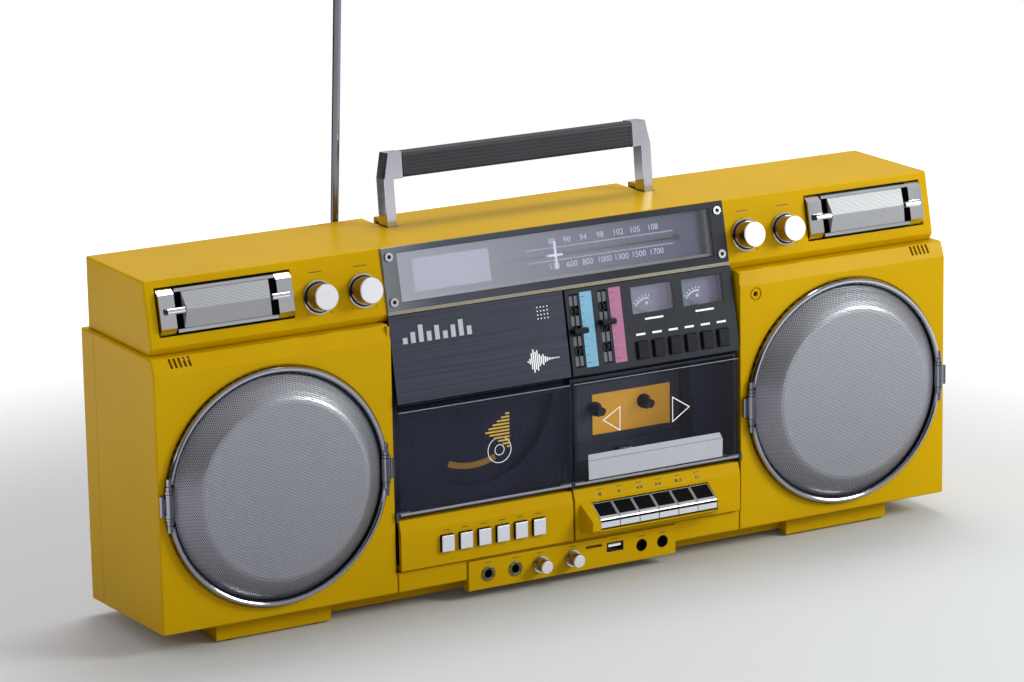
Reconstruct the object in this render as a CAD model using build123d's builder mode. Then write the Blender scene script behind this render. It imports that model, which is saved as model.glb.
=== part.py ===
"""Portable twin-speaker stereo with disc, cassette and radio decks, as separate named pieces.

Frame: millimetres, +X to the right seen from the front, +Y to the back, +Z up.
The origin is on the ground, under the middle of the whole object's bounding box.
Three planes carry the front's features, and each has local (x, up, out) coordinates:
FACE is the plane of the speaker faces, DIAL is the leaning upper face, MID the leaning middle one.
"""
import os
from math import atan2, cos, degrees, hypot, radians, sin

from build123d import *

# ---------------------------------------------------------------- driving dimensions
CASE_W = 670.0             # overall width
CASE_D = 117.0             # depth of the upper housing's back, behind the speaker face
COVER_BACK = 122.0         # back of the rear cover, behind the speaker face
FACE_Y = -55.5             # y of the speaker faces
FOOT_H = 15.8              # ground to the bottom edge of the front face
WALL = 3.0                 # casing wall
GAP = 0.3                  # clearance between neighbouring pieces
COVER_Y = 100.0            # where the rear cover meets the cabinet, behind the face

CABINET_TOP = 216.5
CHAMFER_D = 4.65           # the cabinet's top front chamfer, depth
CHAMFER_H = 11.4           # and height
BOTTOM_DROP = 4.0          # how much lower the cabinet's back edge is than its front edge

HOUSING_W = 662.2          # upper housing, narrower than the cabinet
HOUSING_TOP = 269.1
DIAL_BOTTOM = (10.6, 222.3)   # foot of the leaning dial face: behind the face, height
DIAL_TOP = (20.75, 269.1)

BAY_HALF = 148.3           # the cabinet's central opening
CENTRE_HALF = 145.4        # the middle panels
PANEL_GAP = 0.9            # half the gap between the left and right middle panels
MID_BOTTOM = (-3.5, 158.3)    # leaning middle panels
MID_TOP = (8.6, 220.8)
DOOR_LOW = 73.9
DOOR_HIGH = 152.6
DOOR_OUT = 2.5             # door front, ahead of the face
DOOR_T = 3.0
DOOR_PIVOT = (-1.0, 76.2)  # behind the face, height
HINGE_PIN_R = 0.65

FASCIA_LOW = 33.0          # lower yellow panels
FASCIA_EDGE = 61.8
FASCIA_HIGH = 70.4
FASCIA_OUT = 3.3

SPEAKER_X = 241.9
SPEAKER_Z = 112.0
RING_R = 87.8
GRILLE_R = 82.2
PLATEAU_R = 64.0
PLATEAU_OUT = 14.6

TWEETER_X = 270.5
TWEETER_UP = 24.6
TWEETER_W = 105.9
TWEETER_H = 34.9

TONE_KNOBS = {"treble": -197.9, "bass": -162.0, "tuning": 162.0, "volume": 197.9}
KNOB_UP = 19.4
KNOB_R = 9.2
KNOB_H = 15.0
SKIRT_R = 12.4
SHAFT_R = 3.0

WINDOW_HALF = 132.5        # dial window
WINDOW_LOW = 6.8
WINDOW_HIGH = 43.0
NEEDLE_X = 0.5
NEEDLE_UP = 24.5

METER_X = (56.7, 100.9)    # left edges of the two level meters
METER_W = 35.6
METER_LOW = 38.4
METER_HIGH = 59.0
METER_PIVOT_UP = METER_LOW - 1.6   # hidden under the panel
NEEDLE_REST = 50.0         # degrees left of upright
FADER_X = (10.3, 34.6)
FADER_UP = (32.7, 36.2)
FADER_SLOT = (5.8, 60.2)
MODE_X0 = 61.5
MODE_PITCH = 14.1
MODE_SIZE = (9.2, 13.0)
MODE_UP = 11.4

PRESET_X0 = -107.8
PRESET_PITCH = 15.4
PRESET_SIZE = (10.4, 12.5)
PRESET_Z = 49.0

KEY_X0 = 14.9              # left edge of the first transport key
KEY_PITCH = 16.95
KEY_W = 16.3
KEY_TOP_BACK = (3.6, 58.8)    # out of the face, height
KEY_TOP_FRONT = (16.6, 50.0)
KEY_LIP_OUT = 17.0
KEY_LOW = 43.1
KEY_PIVOT = (-12.0, 53.0)
KEY_SHAFT_R = 1.5
KEYS_X1 = KEY_X0 + 5 * KEY_PITCH + KEY_W   # right edge of the last key

DISC_X = -73.0             # disc well
DISC_Z = 149.0
WELL_R = 66.0
DECK_Y = 13.0              # deck plate, behind the face
WELL_Y = 20.0
TAPE_Y = 25.0
REEL_X = (34.5, 77.0)
REEL_Z = 122.8
CASSETTE = (100.4, 63.8, 12.0)
HUB_ABOVE_LEDGE = 34.8     # cassette's tape edge to its hubs

JACK_HALF = 89.1           # connector strip
JACK_LOW = 7.6
JACK_HIGH = 30.3
JACK_OUT = 1.2
JACK_Z = 19.0
MIC_BARREL_R = 4.7
AUX_BARREL_R = 4.3
MIC_JACKS = (-72.5, -49.6)
AUX_JACKS = (59.2, 77.5)
LEVEL_KNOBS = {"mic_level": -28.5, "echo_level": -1.0}
USB_AT = (36.0, 21.8)
CARD_AT = (17.7, 24.5)

FOOT_IN = 196.5            # moulded feet, from this x out to the next
FOOT_OUT_X = 288.4
FOOT_FRONT = 11.5
BAND_FRONT = 20.0
BAND_LOW = 4.6
TRAY_BACK = 104.0
PAD_H = 1.5

HANDLE_X = 6.2             # middle of the handle
HANDLE_HALF = 114.1
ARM_T = 8.2
ARM_D = 13.0
HANDLE_LEAN = 5.2          # degrees back from upright
HANDLE_PIVOT = (82.7, 257.5)  # behind the face, height
HANDLE_REACH = 65.4        # pivot to the top of the grip
GRIP_H = 19.6
GRIP_D = 14.5
BRACKET_W = 16.0
PIN_R = 3.0
RUNNING = 0.06             # radial clearance of pins in their holes

ANTENNA_X = -128.3
ANTENNA_LEAN = 2.5         # degrees to the right of upright, as it stands
ANTENNA_Y = 123.2          # behind the face
ANTENNA_PIVOT_Z = 252.0
ROD_R = 3.0
ROD_BORE = 2.2
ROD_LENGTH = 190.0

# ---------------------------------------------------------------- planes and helpers


def leaning_plane(bottom, top):
    """A plane through two (behind the face, height) points, facing forward: local x, up, out."""
    length = hypot(top[0] - bottom[0], top[1] - bottom[1])
    lean = (top[0] - bottom[0]) / length
    rise = (top[1] - bottom[1]) / length
    return Plane(origin=(0, FACE_Y + bottom[0], bottom[1]), x_dir=(1, 0, 0), z_dir=(0, -rise, lean))


FACE = Plane(origin=(0, FACE_Y, 0), x_dir=(1, 0, 0), z_dir=(0, -1, 0))
DIAL = leaning_plane(DIAL_BOTTOM, DIAL_TOP)
MID = leaning_plane(MID_BOTTOM, MID_TOP)
DIAL_HEIGHT = hypot(DIAL_TOP[0] - DIAL_BOTTOM[0], DIAL_TOP[1] - DIAL_BOTTOM[1])
MID_HEIGHT = hypot(MID_TOP[0] - MID_BOTTOM[0], MID_TOP[1] - MID_BOTTOM[1])


def middle(limits):
    return (limits[0] + limits[1]) / 2


def span(limits):
    return abs(limits[1] - limits[0])


def slab(plane, x, up, out, mode=Mode.ADD):
    """A box on a plane, between limits along its x, up and out directions."""
    with Locations(plane):
        with Locations((middle(x), middle(up), middle(out))):
            Box(span(x), span(up), span(out), mode=mode)


def disc(plane, at, radius, out, mode=Mode.ADD):
    """A cylinder that stands on a plane, between two heights above it."""
    with Locations(plane):
        with Locations((at[0], at[1], middle(out))):
            Cylinder(radius, span(out), mode=mode)


def prism(points, x, mode=Mode.ADD):
    """A profile of (behind the face, height) points, extruded between two x values."""
    with BuildSketch(Plane.YZ.offset(x[0])) as profile:
        with BuildLine():
            Polyline(*[(FACE_Y + y, z) for y, z in points], close=True)
        make_face()
    extrude(profile.sketch, amount=x[1] - x[0], mode=mode)


def turned(x, z, points, mode=Mode.ADD):
    """A profile of (radius, out of the face) points, turned about a front-to-back axis."""
    with BuildSketch(Plane(origin=(x, FACE_Y, z), x_dir=(1, 0, 0), z_dir=(0, 0, 1))) as profile:
        with BuildLine():
            Polyline(*[(radius, -out) for radius, out in points], close=True)
        make_face()
    revolve(profile.sketch, axis=Axis((x, FACE_Y, z), (0, 1, 0)), mode=mode)


def cross_rod(x, y, z, radius, mode=Mode.ADD):
    """A rod along X between two x values, centred behind the face at y and z."""
    with Locations(Plane(origin=(middle(x), FACE_Y + y, z), z_dir=(1, 0, 0))):
        Cylinder(radius, span(x), mode=mode)


def save(builder, name):
    builder.part.label = name
    export_step(builder.part, f"parts/{name}.step")


os.makedirs("parts", exist_ok=True)
HALF_W = CASE_W / 2
SIDES = (-1, 1)


def floor_at(y):
    """Height of the cabinet's bottom at a distance behind the face."""
    return FOOT_H + 0.5 - BOTTOM_DROP * y / CASE_D


# ---------------------------------------------------------------- casing

with BuildPart() as front_cabinet:
    prism([(0, floor_at(0)), (0, CABINET_TOP - CHAMFER_H), (CHAMFER_D, CABINET_TOP),
           (COVER_Y, CABINET_TOP), (COVER_Y, floor_at(COVER_Y))], (-HALF_W, HALF_W))
    outer = front_cabinet.edges().filter_by_position(Axis.Y, FACE_Y - 1, FACE_Y + COVER_Y - 1)
    fillet(outer, 1.4)
    inside = (-HALF_W + WALL, HALF_W - WALL)
    prism([(WALL, floor_at(0) + WALL), (WALL, CABINET_TOP - CHAMFER_H - 0.6),
           (CHAMFER_D + 2.1, CABINET_TOP - WALL), (COVER_Y + 1, CABINET_TOP - WALL),
           (COVER_Y + 1, floor_at(COVER_Y) + WALL)], inside, Mode.SUBTRACT)
    slab(FACE, (-BAY_HALF, BAY_HALF), (FASCIA_LOW - 1.5, CABINET_TOP + 1), (-34, 1), Mode.SUBTRACT)
    slab(FACE, (-JACK_HALF - GAP, JACK_HALF + GAP), (10, JACK_HIGH + GAP), (-18, 1), Mode.SUBTRACT)
    for side in SIDES:
        # Side wall of the central bay, behind the speaker front.
        slab(FACE, sorted((side * BAY_HALF, side * (BAY_HALF + 2.0))), (FASCIA_LOW, CABINET_TOP - 1),
             (-34, -1.5))
        groove = side * middle((BAY_HALF, CENTRE_HALF))
        slab(FACE, (groove - 0.7, groove + 0.7), (10, FASCIA_LOW), (-1.4, 1), Mode.SUBTRACT)
        disc(FACE, (side * SPEAKER_X, SPEAKER_Z), RING_R + 1.2, (-1.0, 1), Mode.SUBTRACT)
        disc(FACE, (side * SPEAKER_X, SPEAKER_Z), 79.0, (-WALL - 1, 1), Mode.SUBTRACT)
    # Five slanted cooling slots at each top corner.
    corner_face = leaning_plane((0, CABINET_TOP - CHAMFER_H), (CHAMFER_D, CABINET_TOP))
    for side in SIDES:
        with Locations(corner_face):
            with Locations((side * 313.0, 7.8, 0)):
                with GridLocations(3.6, 1, 5, 1):
                    Box(1.8, 7.2, 12, rotation=(0, 0, 12), mode=Mode.SUBTRACT)
    # Microphone opening beside the right speaker.
    disc(FACE, (162.2, 198.4), 2.0, (-WALL - 1, 1), Mode.SUBTRACT)
    with BuildSketch(FACE.offset(-0.8)):
        with Locations((162.2, 198.4)):
            Circle(5.0)
            Circle(4.0, mode=Mode.SUBTRACT)
    extrude(amount=2, mode=Mode.SUBTRACT)
save(front_cabinet, "front_cabinet")

with BuildPart() as rear_cover:
    seam = COVER_Y + 0.25
    prism([(seam, floor_at(seam)), (seam, CABINET_TOP - GAP), (COVER_BACK, CABINET_TOP - GAP),
           (COVER_BACK, floor_at(COVER_BACK))], (-HALF_W, HALF_W))
    outer = rear_cover.edges().filter_by_position(Axis.Y, FACE_Y + seam + 1, FACE_Y + COVER_BACK + 1)
    fillet(outer, 1.4)
    prism([(seam - 1, floor_at(seam) + WALL), (seam - 1, CABINET_TOP - WALL),
           (COVER_BACK - WALL, CABINET_TOP - WALL), (COVER_BACK - WALL, floor_at(COVER_BACK) + WALL)],
          (-HALF_W + WALL, HALF_W - WALL), Mode.SUBTRACT)
    # Cooling slots behind each speaker and the power stage.
    for x in (-200.0, 0.0, 200.0):
        with Locations(FACE):
            with Locations((x, 178.0, -COVER_BACK)):
                with GridLocations(1, 7.0, 1, 6):
                    Box(120.0, 2.6, 12, mode=Mode.SUBTRACT)
    # Battery cover outline with two finger latches, and the recess of the mains inlet.
    slab(FACE, (-120, 120), (40, 110), (-COVER_BACK - 1, -COVER_BACK + 1.0), Mode.SUBTRACT)
    slab(FACE, (-118.6, 118.6), (41.4, 108.6), (-COVER_BACK, -COVER_BACK + 2.0))
    for x in (-70.0, 70.0):
        slab(FACE, (x - 12, x + 12), (98, 106), (-COVER_BACK - 1, -COVER_BACK + 1.2), Mode.SUBTRACT)
    slab(FACE, (247, 275), (44, 62), (-COVER_BACK - 1, -COVER_BACK + 6), Mode.SUBTRACT)
    # Eight countersunk screw seats.
    for x in (-300.0, -170.0, 170.0, 300.0):
        for z in (26.0, 204.0):
            disc(FACE, (x, z), 4.6, (-COVER_BACK - 1, -COVER_BACK + 1.6), Mode.SUBTRACT)
save(rear_cover, "rear_cover")

HOUSING_HALF = HOUSING_W / 2
ARM_X = [HANDLE_X + side * (HANDLE_HALF - ARM_T / 2) for side in SIDES]
SLOT_HALF = ARM_T / 2 + 1.2
with BuildPart() as top_housing:
    foot_y = DIAL_BOTTOM[0] + 3.2
    base_z = CABINET_TOP + GAP
    prism([DIAL_BOTTOM, DIAL_TOP, (CASE_D, HOUSING_TOP), (CASE_D, base_z), (foot_y, base_z)],
          (-HOUSING_HALF, HOUSING_HALF))
    outer = top_housing.edges().filter_by_position(Axis.Z, base_z + 1, HOUSING_TOP + 1)
    fillet(outer, 1.4)
    prism([(foot_y + 0.4, DIAL_BOTTOM[1]), (DIAL_TOP[0] + 2.4, HOUSING_TOP - WALL),
           (CASE_D - WALL, HOUSING_TOP - WALL), (CASE_D - WALL, base_z - 1),
           (foot_y + WALL, base_z - 1)], (-HOUSING_HALF + WALL, HOUSING_HALF - WALL), Mode.SUBTRACT)
    # The dial opening, the tweeter openings and the knob shafts' holes.
    slab(DIAL, (-CENTRE_HALF + 10, CENTRE_HALF - 10), (4, 44.5), (-8, 3), Mode.SUBTRACT)
    for side in SIDES:
        x = side * TWEETER_X
        slab(DIAL, (x - TWEETER_W / 2, x + TWEETER_W / 2),
             (TWEETER_UP - TWEETER_H / 2, TWEETER_UP + TWEETER_H / 2), (-9, 3), Mode.SUBTRACT)
    for x in TONE_KNOBS.values():
        disc(DIAL, (x, KNOB_UP), SHAFT_R + GAP, (-8, 3), Mode.SUBTRACT)
    # Slots that take the folded handle, open to the back, with hinge lugs beside them.
    for x in ARM_X:
        for lug in SIDES:
            inner_x = x + lug * SLOT_HALF
            slab(FACE, sorted((inner_x, inner_x + lug * 5)), (248, HOUSING_TOP - 1),
                 (-HANDLE_PIVOT[0] - 9, -HANDLE_PIVOT[0] + 9))
        slab(FACE, (x - SLOT_HALF, x + SLOT_HALF), (247, HOUSING_TOP + 1),
             (-CASE_D - 1, -HANDLE_PIVOT[0] + ARM_D / 2 - 0.2), Mode.SUBTRACT)
        cross_rod((x - 12, x + 12), *HANDLE_PIVOT, PIN_R + RUNNING, Mode.SUBTRACT)
    # Shelf on the back that carries the antenna.
    slab(FACE, (ANTENNA_X - 11, ANTENNA_X + 11), (231, 238), (-ANTENNA_Y - 5, -CASE_D + 1))
    with Locations((ANTENNA_X, FACE_Y + ANTENNA_Y, 236)):
        Cylinder(2.5 + RUNNING, 30, mode=Mode.SUBTRACT)
save(top_housing, "top_housing")

with BuildPart() as base_tray:
    top_front = floor_at(BAND_FRONT) - GAP
    top_back = floor_at(TRAY_BACK) - GAP
    prism([(BAND_FRONT, BAND_LOW), (BAND_FRONT, top_front), (TRAY_BACK, top_back),
           (TRAY_BACK, BAND_LOW)], (-FOOT_OUT_X, FOOT_OUT_X))
    for side in SIDES:
        prism([(FOOT_FRONT, PAD_H), (FOOT_FRONT, floor_at(FOOT_FRONT) - GAP),
               (TRAY_BACK, top_back), (TRAY_BACK, PAD_H)],
              sorted((side * FOOT_IN, side * FOOT_OUT_X)))
    # Hollow from above.
    prism([(BAND_FRONT + 3, BAND_LOW + 3), (BAND_FRONT + 3, 30), (TRAY_BACK - 3, 30),
           (TRAY_BACK - 3, BAND_LOW + 3)], (-FOOT_OUT_X + 3, FOOT_OUT_X - 3), Mode.SUBTRACT)
save(base_tray, "base_tray")

with BuildPart() as foot_pads:
    for x in (-276.0, -209.0, 209.0, 276.0):
        for y in (22.0, 93.0):
            with Locations((x, FACE_Y + y, PAD_H / 2)):
                Cylinder(8.0, PAD_H)
save(foot_pads, "foot_pads")

# ---------------------------------------------------------------- speakers

with BuildPart() as speaker_rings:
    for side in SIDES:
        x = side * SPEAKER_X
        # Rolled bead, with a low lip inside it that carries the grille.
        turned(x, SPEAKER_Z, [(81.0, -0.9), (81.0, -0.1), (83.8, -0.1), (83.8, 3.2), (84.3, 4.3),
                              (85.3, 4.9), (86.4, 4.9), (87.3, 4.2), (RING_R, 3.0), (RING_R, -0.9)])
        for end in SIDES:
            edge = x + end * RING_R
            slab(FACE, (edge - 4.4, edge + 7), (SPEAKER_Z - 15.4, SPEAKER_Z + 15.4), (0.3, 6),
                 Mode.SUBTRACT)
            # Latch: knuckles and collars on the ring's ends, a barrel between them, and a lever.
            for height, radius, length in ((17.0, 2.1, 5.0), (12.4, 2.5, 2.6), (9.9, 3.1, 1.8)):
                for up in SIDES:
                    with Locations(FACE):
                        with Locations((edge - end * 2.0, SPEAKER_Z + up * height, 2.9)):
                            Cylinder(radius, length, rotation=(90, 0, 0))
            with Locations(FACE):
                with Locations((edge - end * 2.0, SPEAKER_Z, 2.9)):
                    Cylinder(1.5, 34.0, rotation=(90, 0, 0))
                    Cylinder(3.4, 17.0, rotation=(90, 0, 0))
                with Locations((edge + end * 3.4, SPEAKER_Z, 2.2)):
                    Cylinder(1.7, 14.6, rotation=(90, 0, 0))
            slab(FACE, sorted((edge - end * 2.0, edge + end * 4.2)),
                 (SPEAKER_Z - 5.0, SPEAKER_Z + 5.0), (0.4, 2.4))
save(speaker_rings, "speaker_rings")

GRILLE_OUTLINE = [(GRILLE_R, 0.2), (GRILLE_R, 1.4), (80.8, 2.6), (77.0, 6.2), (72.0, 10.4),
                  (68.6, 12.9), (66.4, 14.1), (PLATEAU_R, PLATEAU_OUT)]
with BuildPart() as speaker_grilles:
    for side in SIDES:
        x = side * SPEAKER_X
        inner_outline = [(max(r - 1.0, 0), out - 1.2) for r, out in reversed(GRILLE_OUTLINE[1:])]
        turned(x, SPEAKER_Z, GRILLE_OUTLINE + [(0, PLATEAU_OUT), (0, PLATEAU_OUT - 1.2)]
               + inner_outline)
    # Tweeter grilles: a low ridge along the middle, with slanted ends.
    for side in SIDES:
        x = side * TWEETER_X
        with BuildSketch(DIAL.offset(2.9)):
            with Locations((x, TWEETER_UP)):
                Rectangle(68.0, 25.8)
        with BuildSketch(DIAL.offset(6.5)):
            with Locations((x, TWEETER_UP)):
                Rectangle(64.8, 0.8)
        loft()
        slab(DIAL, (x - 34.0, x + 34.0), (TWEETER_UP - 12.9, TWEETER_UP + 12.9), (1.9, 2.9))
save(speaker_grilles, "speaker_grilles")

with BuildPart() as woofers:
    for side in SIDES:
        x = side * SPEAKER_X
        # Pressed basket, cone with its rubber roll, dust cap, and magnet.
        turned(x, SPEAKER_Z, [(86.0, -WALL - 0.2), (86.0, -WALL - 2.2), (74.0, -WALL - 2.2),
                              (42.0, -36.0), (30.0, -36.0), (30.0, -38.0), (43.0, -38.0),
                              (76.0, -WALL - 4.2), (88.0, -WALL - 4.2), (88.0, -WALL - 0.2)])
        turned(x, SPEAKER_Z, [(78.0, -1.6), (74.0, 0.4), (69.0, -1.6), (20.0, -24.0), (20.0, -25.4),
                              (69.0, -3.0), (74.0, -1.0), (77.0, -3.0), (78.0, -3.0)])
        turned(x, SPEAKER_Z, [(0, -16.0), (12.0, -17.6), (24.0, -22.0), (24.0, -23.2), (0, -17.4)])
        turned(x, SPEAKER_Z, [(0, -38.4), (42.0, -38.4), (42.0, -56.0), (0, -56.0)])
save(woofers, "woofers")

with BuildPart() as tweeter_frames:
    for side in SIDES:
        x = side * TWEETER_X
        half_w = TWEETER_W / 2 - GAP
        half_h = TWEETER_H / 2 - GAP
        # Tray with the tweeter's body, which carries the grille.
        slab(DIAL, (x - half_w, x + half_w), (TWEETER_UP - half_h, TWEETER_UP + half_h),
             (-8.6, -6.6))
        slab(DIAL, (x - 30.0, x + 30.0), (TWEETER_UP - 10.4, TWEETER_UP + 10.4), (-7, 1.7))
        for end in SIDES:
            # Clamp plate with sloping ends, and the pin that holds the grille.
            with BuildSketch(Plane(origin=DIAL.from_local_coords((x + end * 45.9, TWEETER_UP, 0)),
                                   x_dir=DIAL.y_dir, z_dir=(1, 0, 0))):
                Polygon((-16.3, -7), (16.3, -7), (16.3, -1.0), (12.0, 3.5), (-12.0, 3.5),
                        (-16.3, -1.0), align=None)
            extrude(amount=6.0, both=True)
            with Locations(DIAL):
                with Locations((x + end * 40.8, TWEETER_UP, 5.4)):
                    Cylinder(2.4, 13.4, rotation=(0, 90, 0))
        for rail in SIDES:
            slab(DIAL, (x - 38.9, x + 38.9),
                 sorted((TWEETER_UP + rail * 13.2, TWEETER_UP + rail * 15.5)), (-7, 2.5))
save(tweeter_frames, "tweeter_frames")

# ---------------------------------------------------------------- dial

with BuildPart() as dial_frame:
    slab(DIAL, (-CENTRE_HALF + 0.6, CENTRE_HALF - 0.6), (0.2, DIAL_HEIGHT - 0.4), (0.1, 1.4))
    frame_edges = dial_frame.edges().group_by(Axis(DIAL.origin, DIAL.z_dir))[-1]
    chamfer(frame_edges, 0.5)
    slab(DIAL, (-CENTRE_HALF + 10.4, CENTRE_HALF - 10.4), (4.4, 44.1), (-8.0, 0.6))
    slab(DIAL, (-WINDOW_HALF, WINDOW_HALF), (WINDOW_LOW, WINDOW_HIGH), (-9, 2), Mode.SUBTRACT)
save(dial_frame, "dial_frame")

with BuildPart() as clear_windows:
    slab(DIAL, (-WINDOW_HALF + GAP, WINDOW_HALF - GAP), (WINDOW_LOW + GAP, WINDOW_HIGH - GAP),
         (-0.8, 1.0))
    for x in METER_X:
        slab(MID, (x + GAP, x + METER_W - GAP), (METER_LOW + GAP, METER_HIGH - GAP), (-1.2, -0.2))
save(clear_windows, "clear_windows")

with BuildPart() as dial_scale:
    slab(DIAL, (-WINDOW_HALF + GAP, WINDOW_HALF - GAP), (WINDOW_LOW + GAP, WINDOW_HIGH - GAP),
         (-8.0, -6.8))
    # Display bezel, and the slot in which the needle's carrier runs.
    slab(DIAL, (-119.5, -51.0), (10.6, 39.0), (-7.0, -5.6))
    slab(DIAL, (-117.0, -53.5), (12.6, 37.0), (-6.4, -5), Mode.SUBTRACT)
    slab(DIAL, (-45.0, 104.0), (NEEDLE_UP - 0.9, NEEDLE_UP + 0.9), (-9, -6), Mode.SUBTRACT)
save(dial_scale, "dial_scale")

with BuildPart() as dial_needle:
    slab(DIAL, (NEEDLE_X - 0.8, NEEDLE_X + 0.8), (NEEDLE_UP - 10.2, NEEDLE_UP + 10.2), (-4.4, -3.4))
    slab(DIAL, (NEEDLE_X - 5.8, NEEDLE_X + 5.8), (NEEDLE_UP - 0.8, NEEDLE_UP + 0.8), (-4.4, -3.4))
    slab(DIAL, (NEEDLE_X - 2.0, NEEDLE_X + 2.0), (NEEDLE_UP - 0.5, NEEDLE_UP + 0.5), (-10.4, -3.8))
    slab(DIAL, (NEEDLE_X - 4.0, NEEDLE_X + 4.0), (NEEDLE_UP - 3.0, NEEDLE_UP + 3.0), (-11.4, -8.6))
save(dial_needle, "dial_needle")

with BuildPart() as case_screws:
    for x in (-138.9, 138.9):
        for up in (7.8, 40.6):
            disc(DIAL, (x, up), 3.2, (1.45, 2.4))
            disc(DIAL, (x, up), 1.5, (1.6, 2.6), Mode.SUBTRACT)
    for x in (-300.0, -170.0, 170.0, 300.0):
        for z in (26.0, 204.0):
            disc(FACE, (x, z), 4.0, (-COVER_BACK + 0.2, -COVER_BACK + 1.5))
            for w, h in ((2.6, 0.5), (0.5, 2.6)):
                slab(FACE, (x - w, x + w), (z - h, z + h), (-COVER_BACK, -COVER_BACK + 0.8),
                     Mode.SUBTRACT)
save(case_screws, "case_screws")

# ---------------------------------------------------------------- knobs


def knob(plane, at, radius, height, skirt, shaft_depth):
    """Turned knob with a rimmed skirt, a small edge at its cap and a shaft behind it."""
    disc(plane, at, skirt, (0.35, 1.9))
    disc(plane, at, skirt - 1.1, (0.9, 3), Mode.SUBTRACT)
    with Locations(plane):
        with Locations((at[0], at[1], height / 2)):
            Cone(min(radius * 1.15, skirt - 1.2), radius, height - 1.2)
    disc(plane, at, radius - 0.6, (height - 0.7, height))
    disc(plane, at, SHAFT_R * radius / KNOB_R, (-shaft_depth, 0.4))


for name, x in TONE_KNOBS.items():
    with BuildPart() as tone_knob:
        knob(DIAL, (x, KNOB_UP), KNOB_R, KNOB_H, SKIRT_R, 12.0)
    save(tone_knob, f"{name}_knob")

for name, x in LEVEL_KNOBS.items():
    with BuildPart() as level_knob:
        knob(FACE.offset(JACK_OUT), (x, JACK_Z), 4.8, 11.0, 6.4, 10.0)
    save(level_knob, f"{name}_knob")

# ---------------------------------------------------------------- middle right: controls

with BuildPart() as control_panel:
    slab(MID, (PANEL_GAP, CENTRE_HALF), (0, MID_HEIGHT), (-3.0, 0))
    # The panel folds back under itself along its lower edge.
    prism([(MID_BOTTOM[0] + 0.1, 158.2), (4.0, 154.6), (7.0, 154.6), (0.8, 160.4)],
          (PANEL_GAP, CENTRE_HALF))
    for x in METER_X:
        slab(MID, (x, x + METER_W), (METER_LOW, METER_HIGH), (-4, 1), Mode.SUBTRACT)
    for x in FADER_X:
        slab(MID, (x - 6.6, x + 1.0), FADER_SLOT, (-2.2, 1), Mode.SUBTRACT)
        slab(MID, (x - 3.4, x - 2.2), FADER_SLOT, (-4, 1), Mode.SUBTRACT)
    for i in range(6):
        x = MODE_X0 + i * MODE_PITCH
        slab(MID, (x - MODE_SIZE[0] / 2 - GAP, x + MODE_SIZE[0] / 2 + GAP),
             (MODE_UP - MODE_SIZE[1] / 2 - GAP, MODE_UP + MODE_SIZE[1] / 2 + GAP), (-4, 1),
             Mode.SUBTRACT)
save(control_panel, "control_panel")

for i in range(2):
    with BuildPart() as fader:
        x = FADER_X[i]
        up = FADER_UP[i]
        slab(MID, (x - 6.8, x + 4.8), (up - 2.1, up + 2.1), (0.4, 5.6))
        ridge = fader.edges().group_by(Axis(MID.origin, MID.z_dir))[-1].filter_by(Axis.X)
        chamfer(ridge, 1.2)
        slab(MID, (x - 3.1, x - 2.5), (up - 1.6, up + 1.6), (-9.0, 0.6))
    save(fader, f"fader_{i + 1}")

for i in range(6):
    with BuildPart() as mode_button:
        x = MODE_X0 + i * MODE_PITCH
        half_w = MODE_SIZE[0] / 2
        half_h = MODE_SIZE[1] / 2
        slab(MID, (x - half_w, x + half_w), (MODE_UP - half_h, MODE_UP + half_h), (-2.6, 2.6))
        rim = mode_button.edges().group_by(Axis(MID.origin, MID.z_dir))[-1]
        chamfer(rim, 0.6)
        slab(MID, (x - 2, x + 2), (MODE_UP - 2, MODE_UP + 2), (-7, -2.4))
    save(mode_button, f"mode_button_{i + 1}")

with BuildPart() as level_meters:
    for x in METER_X:
        slab(MID, (x - 1.4, x + METER_W + 1.4), (METER_LOW - 5.8, METER_HIGH + 0.8), (-13.0, -3.2))
        slab(MID, (x, x + METER_W), (METER_LOW - 4.6, METER_HIGH - 0.6), (-9.0, -3.0), Mode.SUBTRACT)
        # Bearing of the moving needle.
        disc(MID, (x + METER_W / 2, METER_PIVOT_UP), 2.4, (-9.2, -8.2))
        disc(MID, (x + METER_W / 2, METER_PIVOT_UP), 1.0 + RUNNING, (-12, -3), Mode.SUBTRACT)
save(level_meters, "level_meters")

for name, x in zip(("left", "right"), METER_X):
    with BuildPart() as meter_needle:
        pivot_x = x + METER_W / 2
        disc(MID, (pivot_x, METER_PIVOT_UP), 1.0, (-11.5, -5.6))
        disc(MID, (pivot_x, METER_PIVOT_UP), 2.2, (-7.0, -6.0))
        with Locations(MID):
            with Locations(Location((pivot_x, METER_PIVOT_UP, -6.6), (0, 0, NEEDLE_REST))):
                with Locations((0, 5.0)):
                    Box(0.6, 15.2, 0.8)
    save(meter_needle, f"{name}_meter_needle")

# ---------------------------------------------------------------- doors and decks


def hinge_bores(door_x):
    """Bores for the hinge pins in both ends of a door's foot."""
    for end, inward in zip(door_x, (1, -1)):
        cross_rod(sorted((end - inward, end + inward * 9.0)), *DOOR_PIVOT,
                  HINGE_PIN_R + RUNNING, Mode.SUBTRACT)


with BuildPart() as cd_door:
    door_x = (-CENTRE_HALF, -PANEL_GAP)
    slab(FACE, door_x, (DOOR_LOW, DOOR_HIGH), (DOOR_OUT - DOOR_T, DOOR_OUT))
    rim = cd_door.edges().group_by(Axis.Y)[0]
    chamfer(rim, 0.7)
    hinge_bores(door_x)
save(cd_door, "cd_door")

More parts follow.
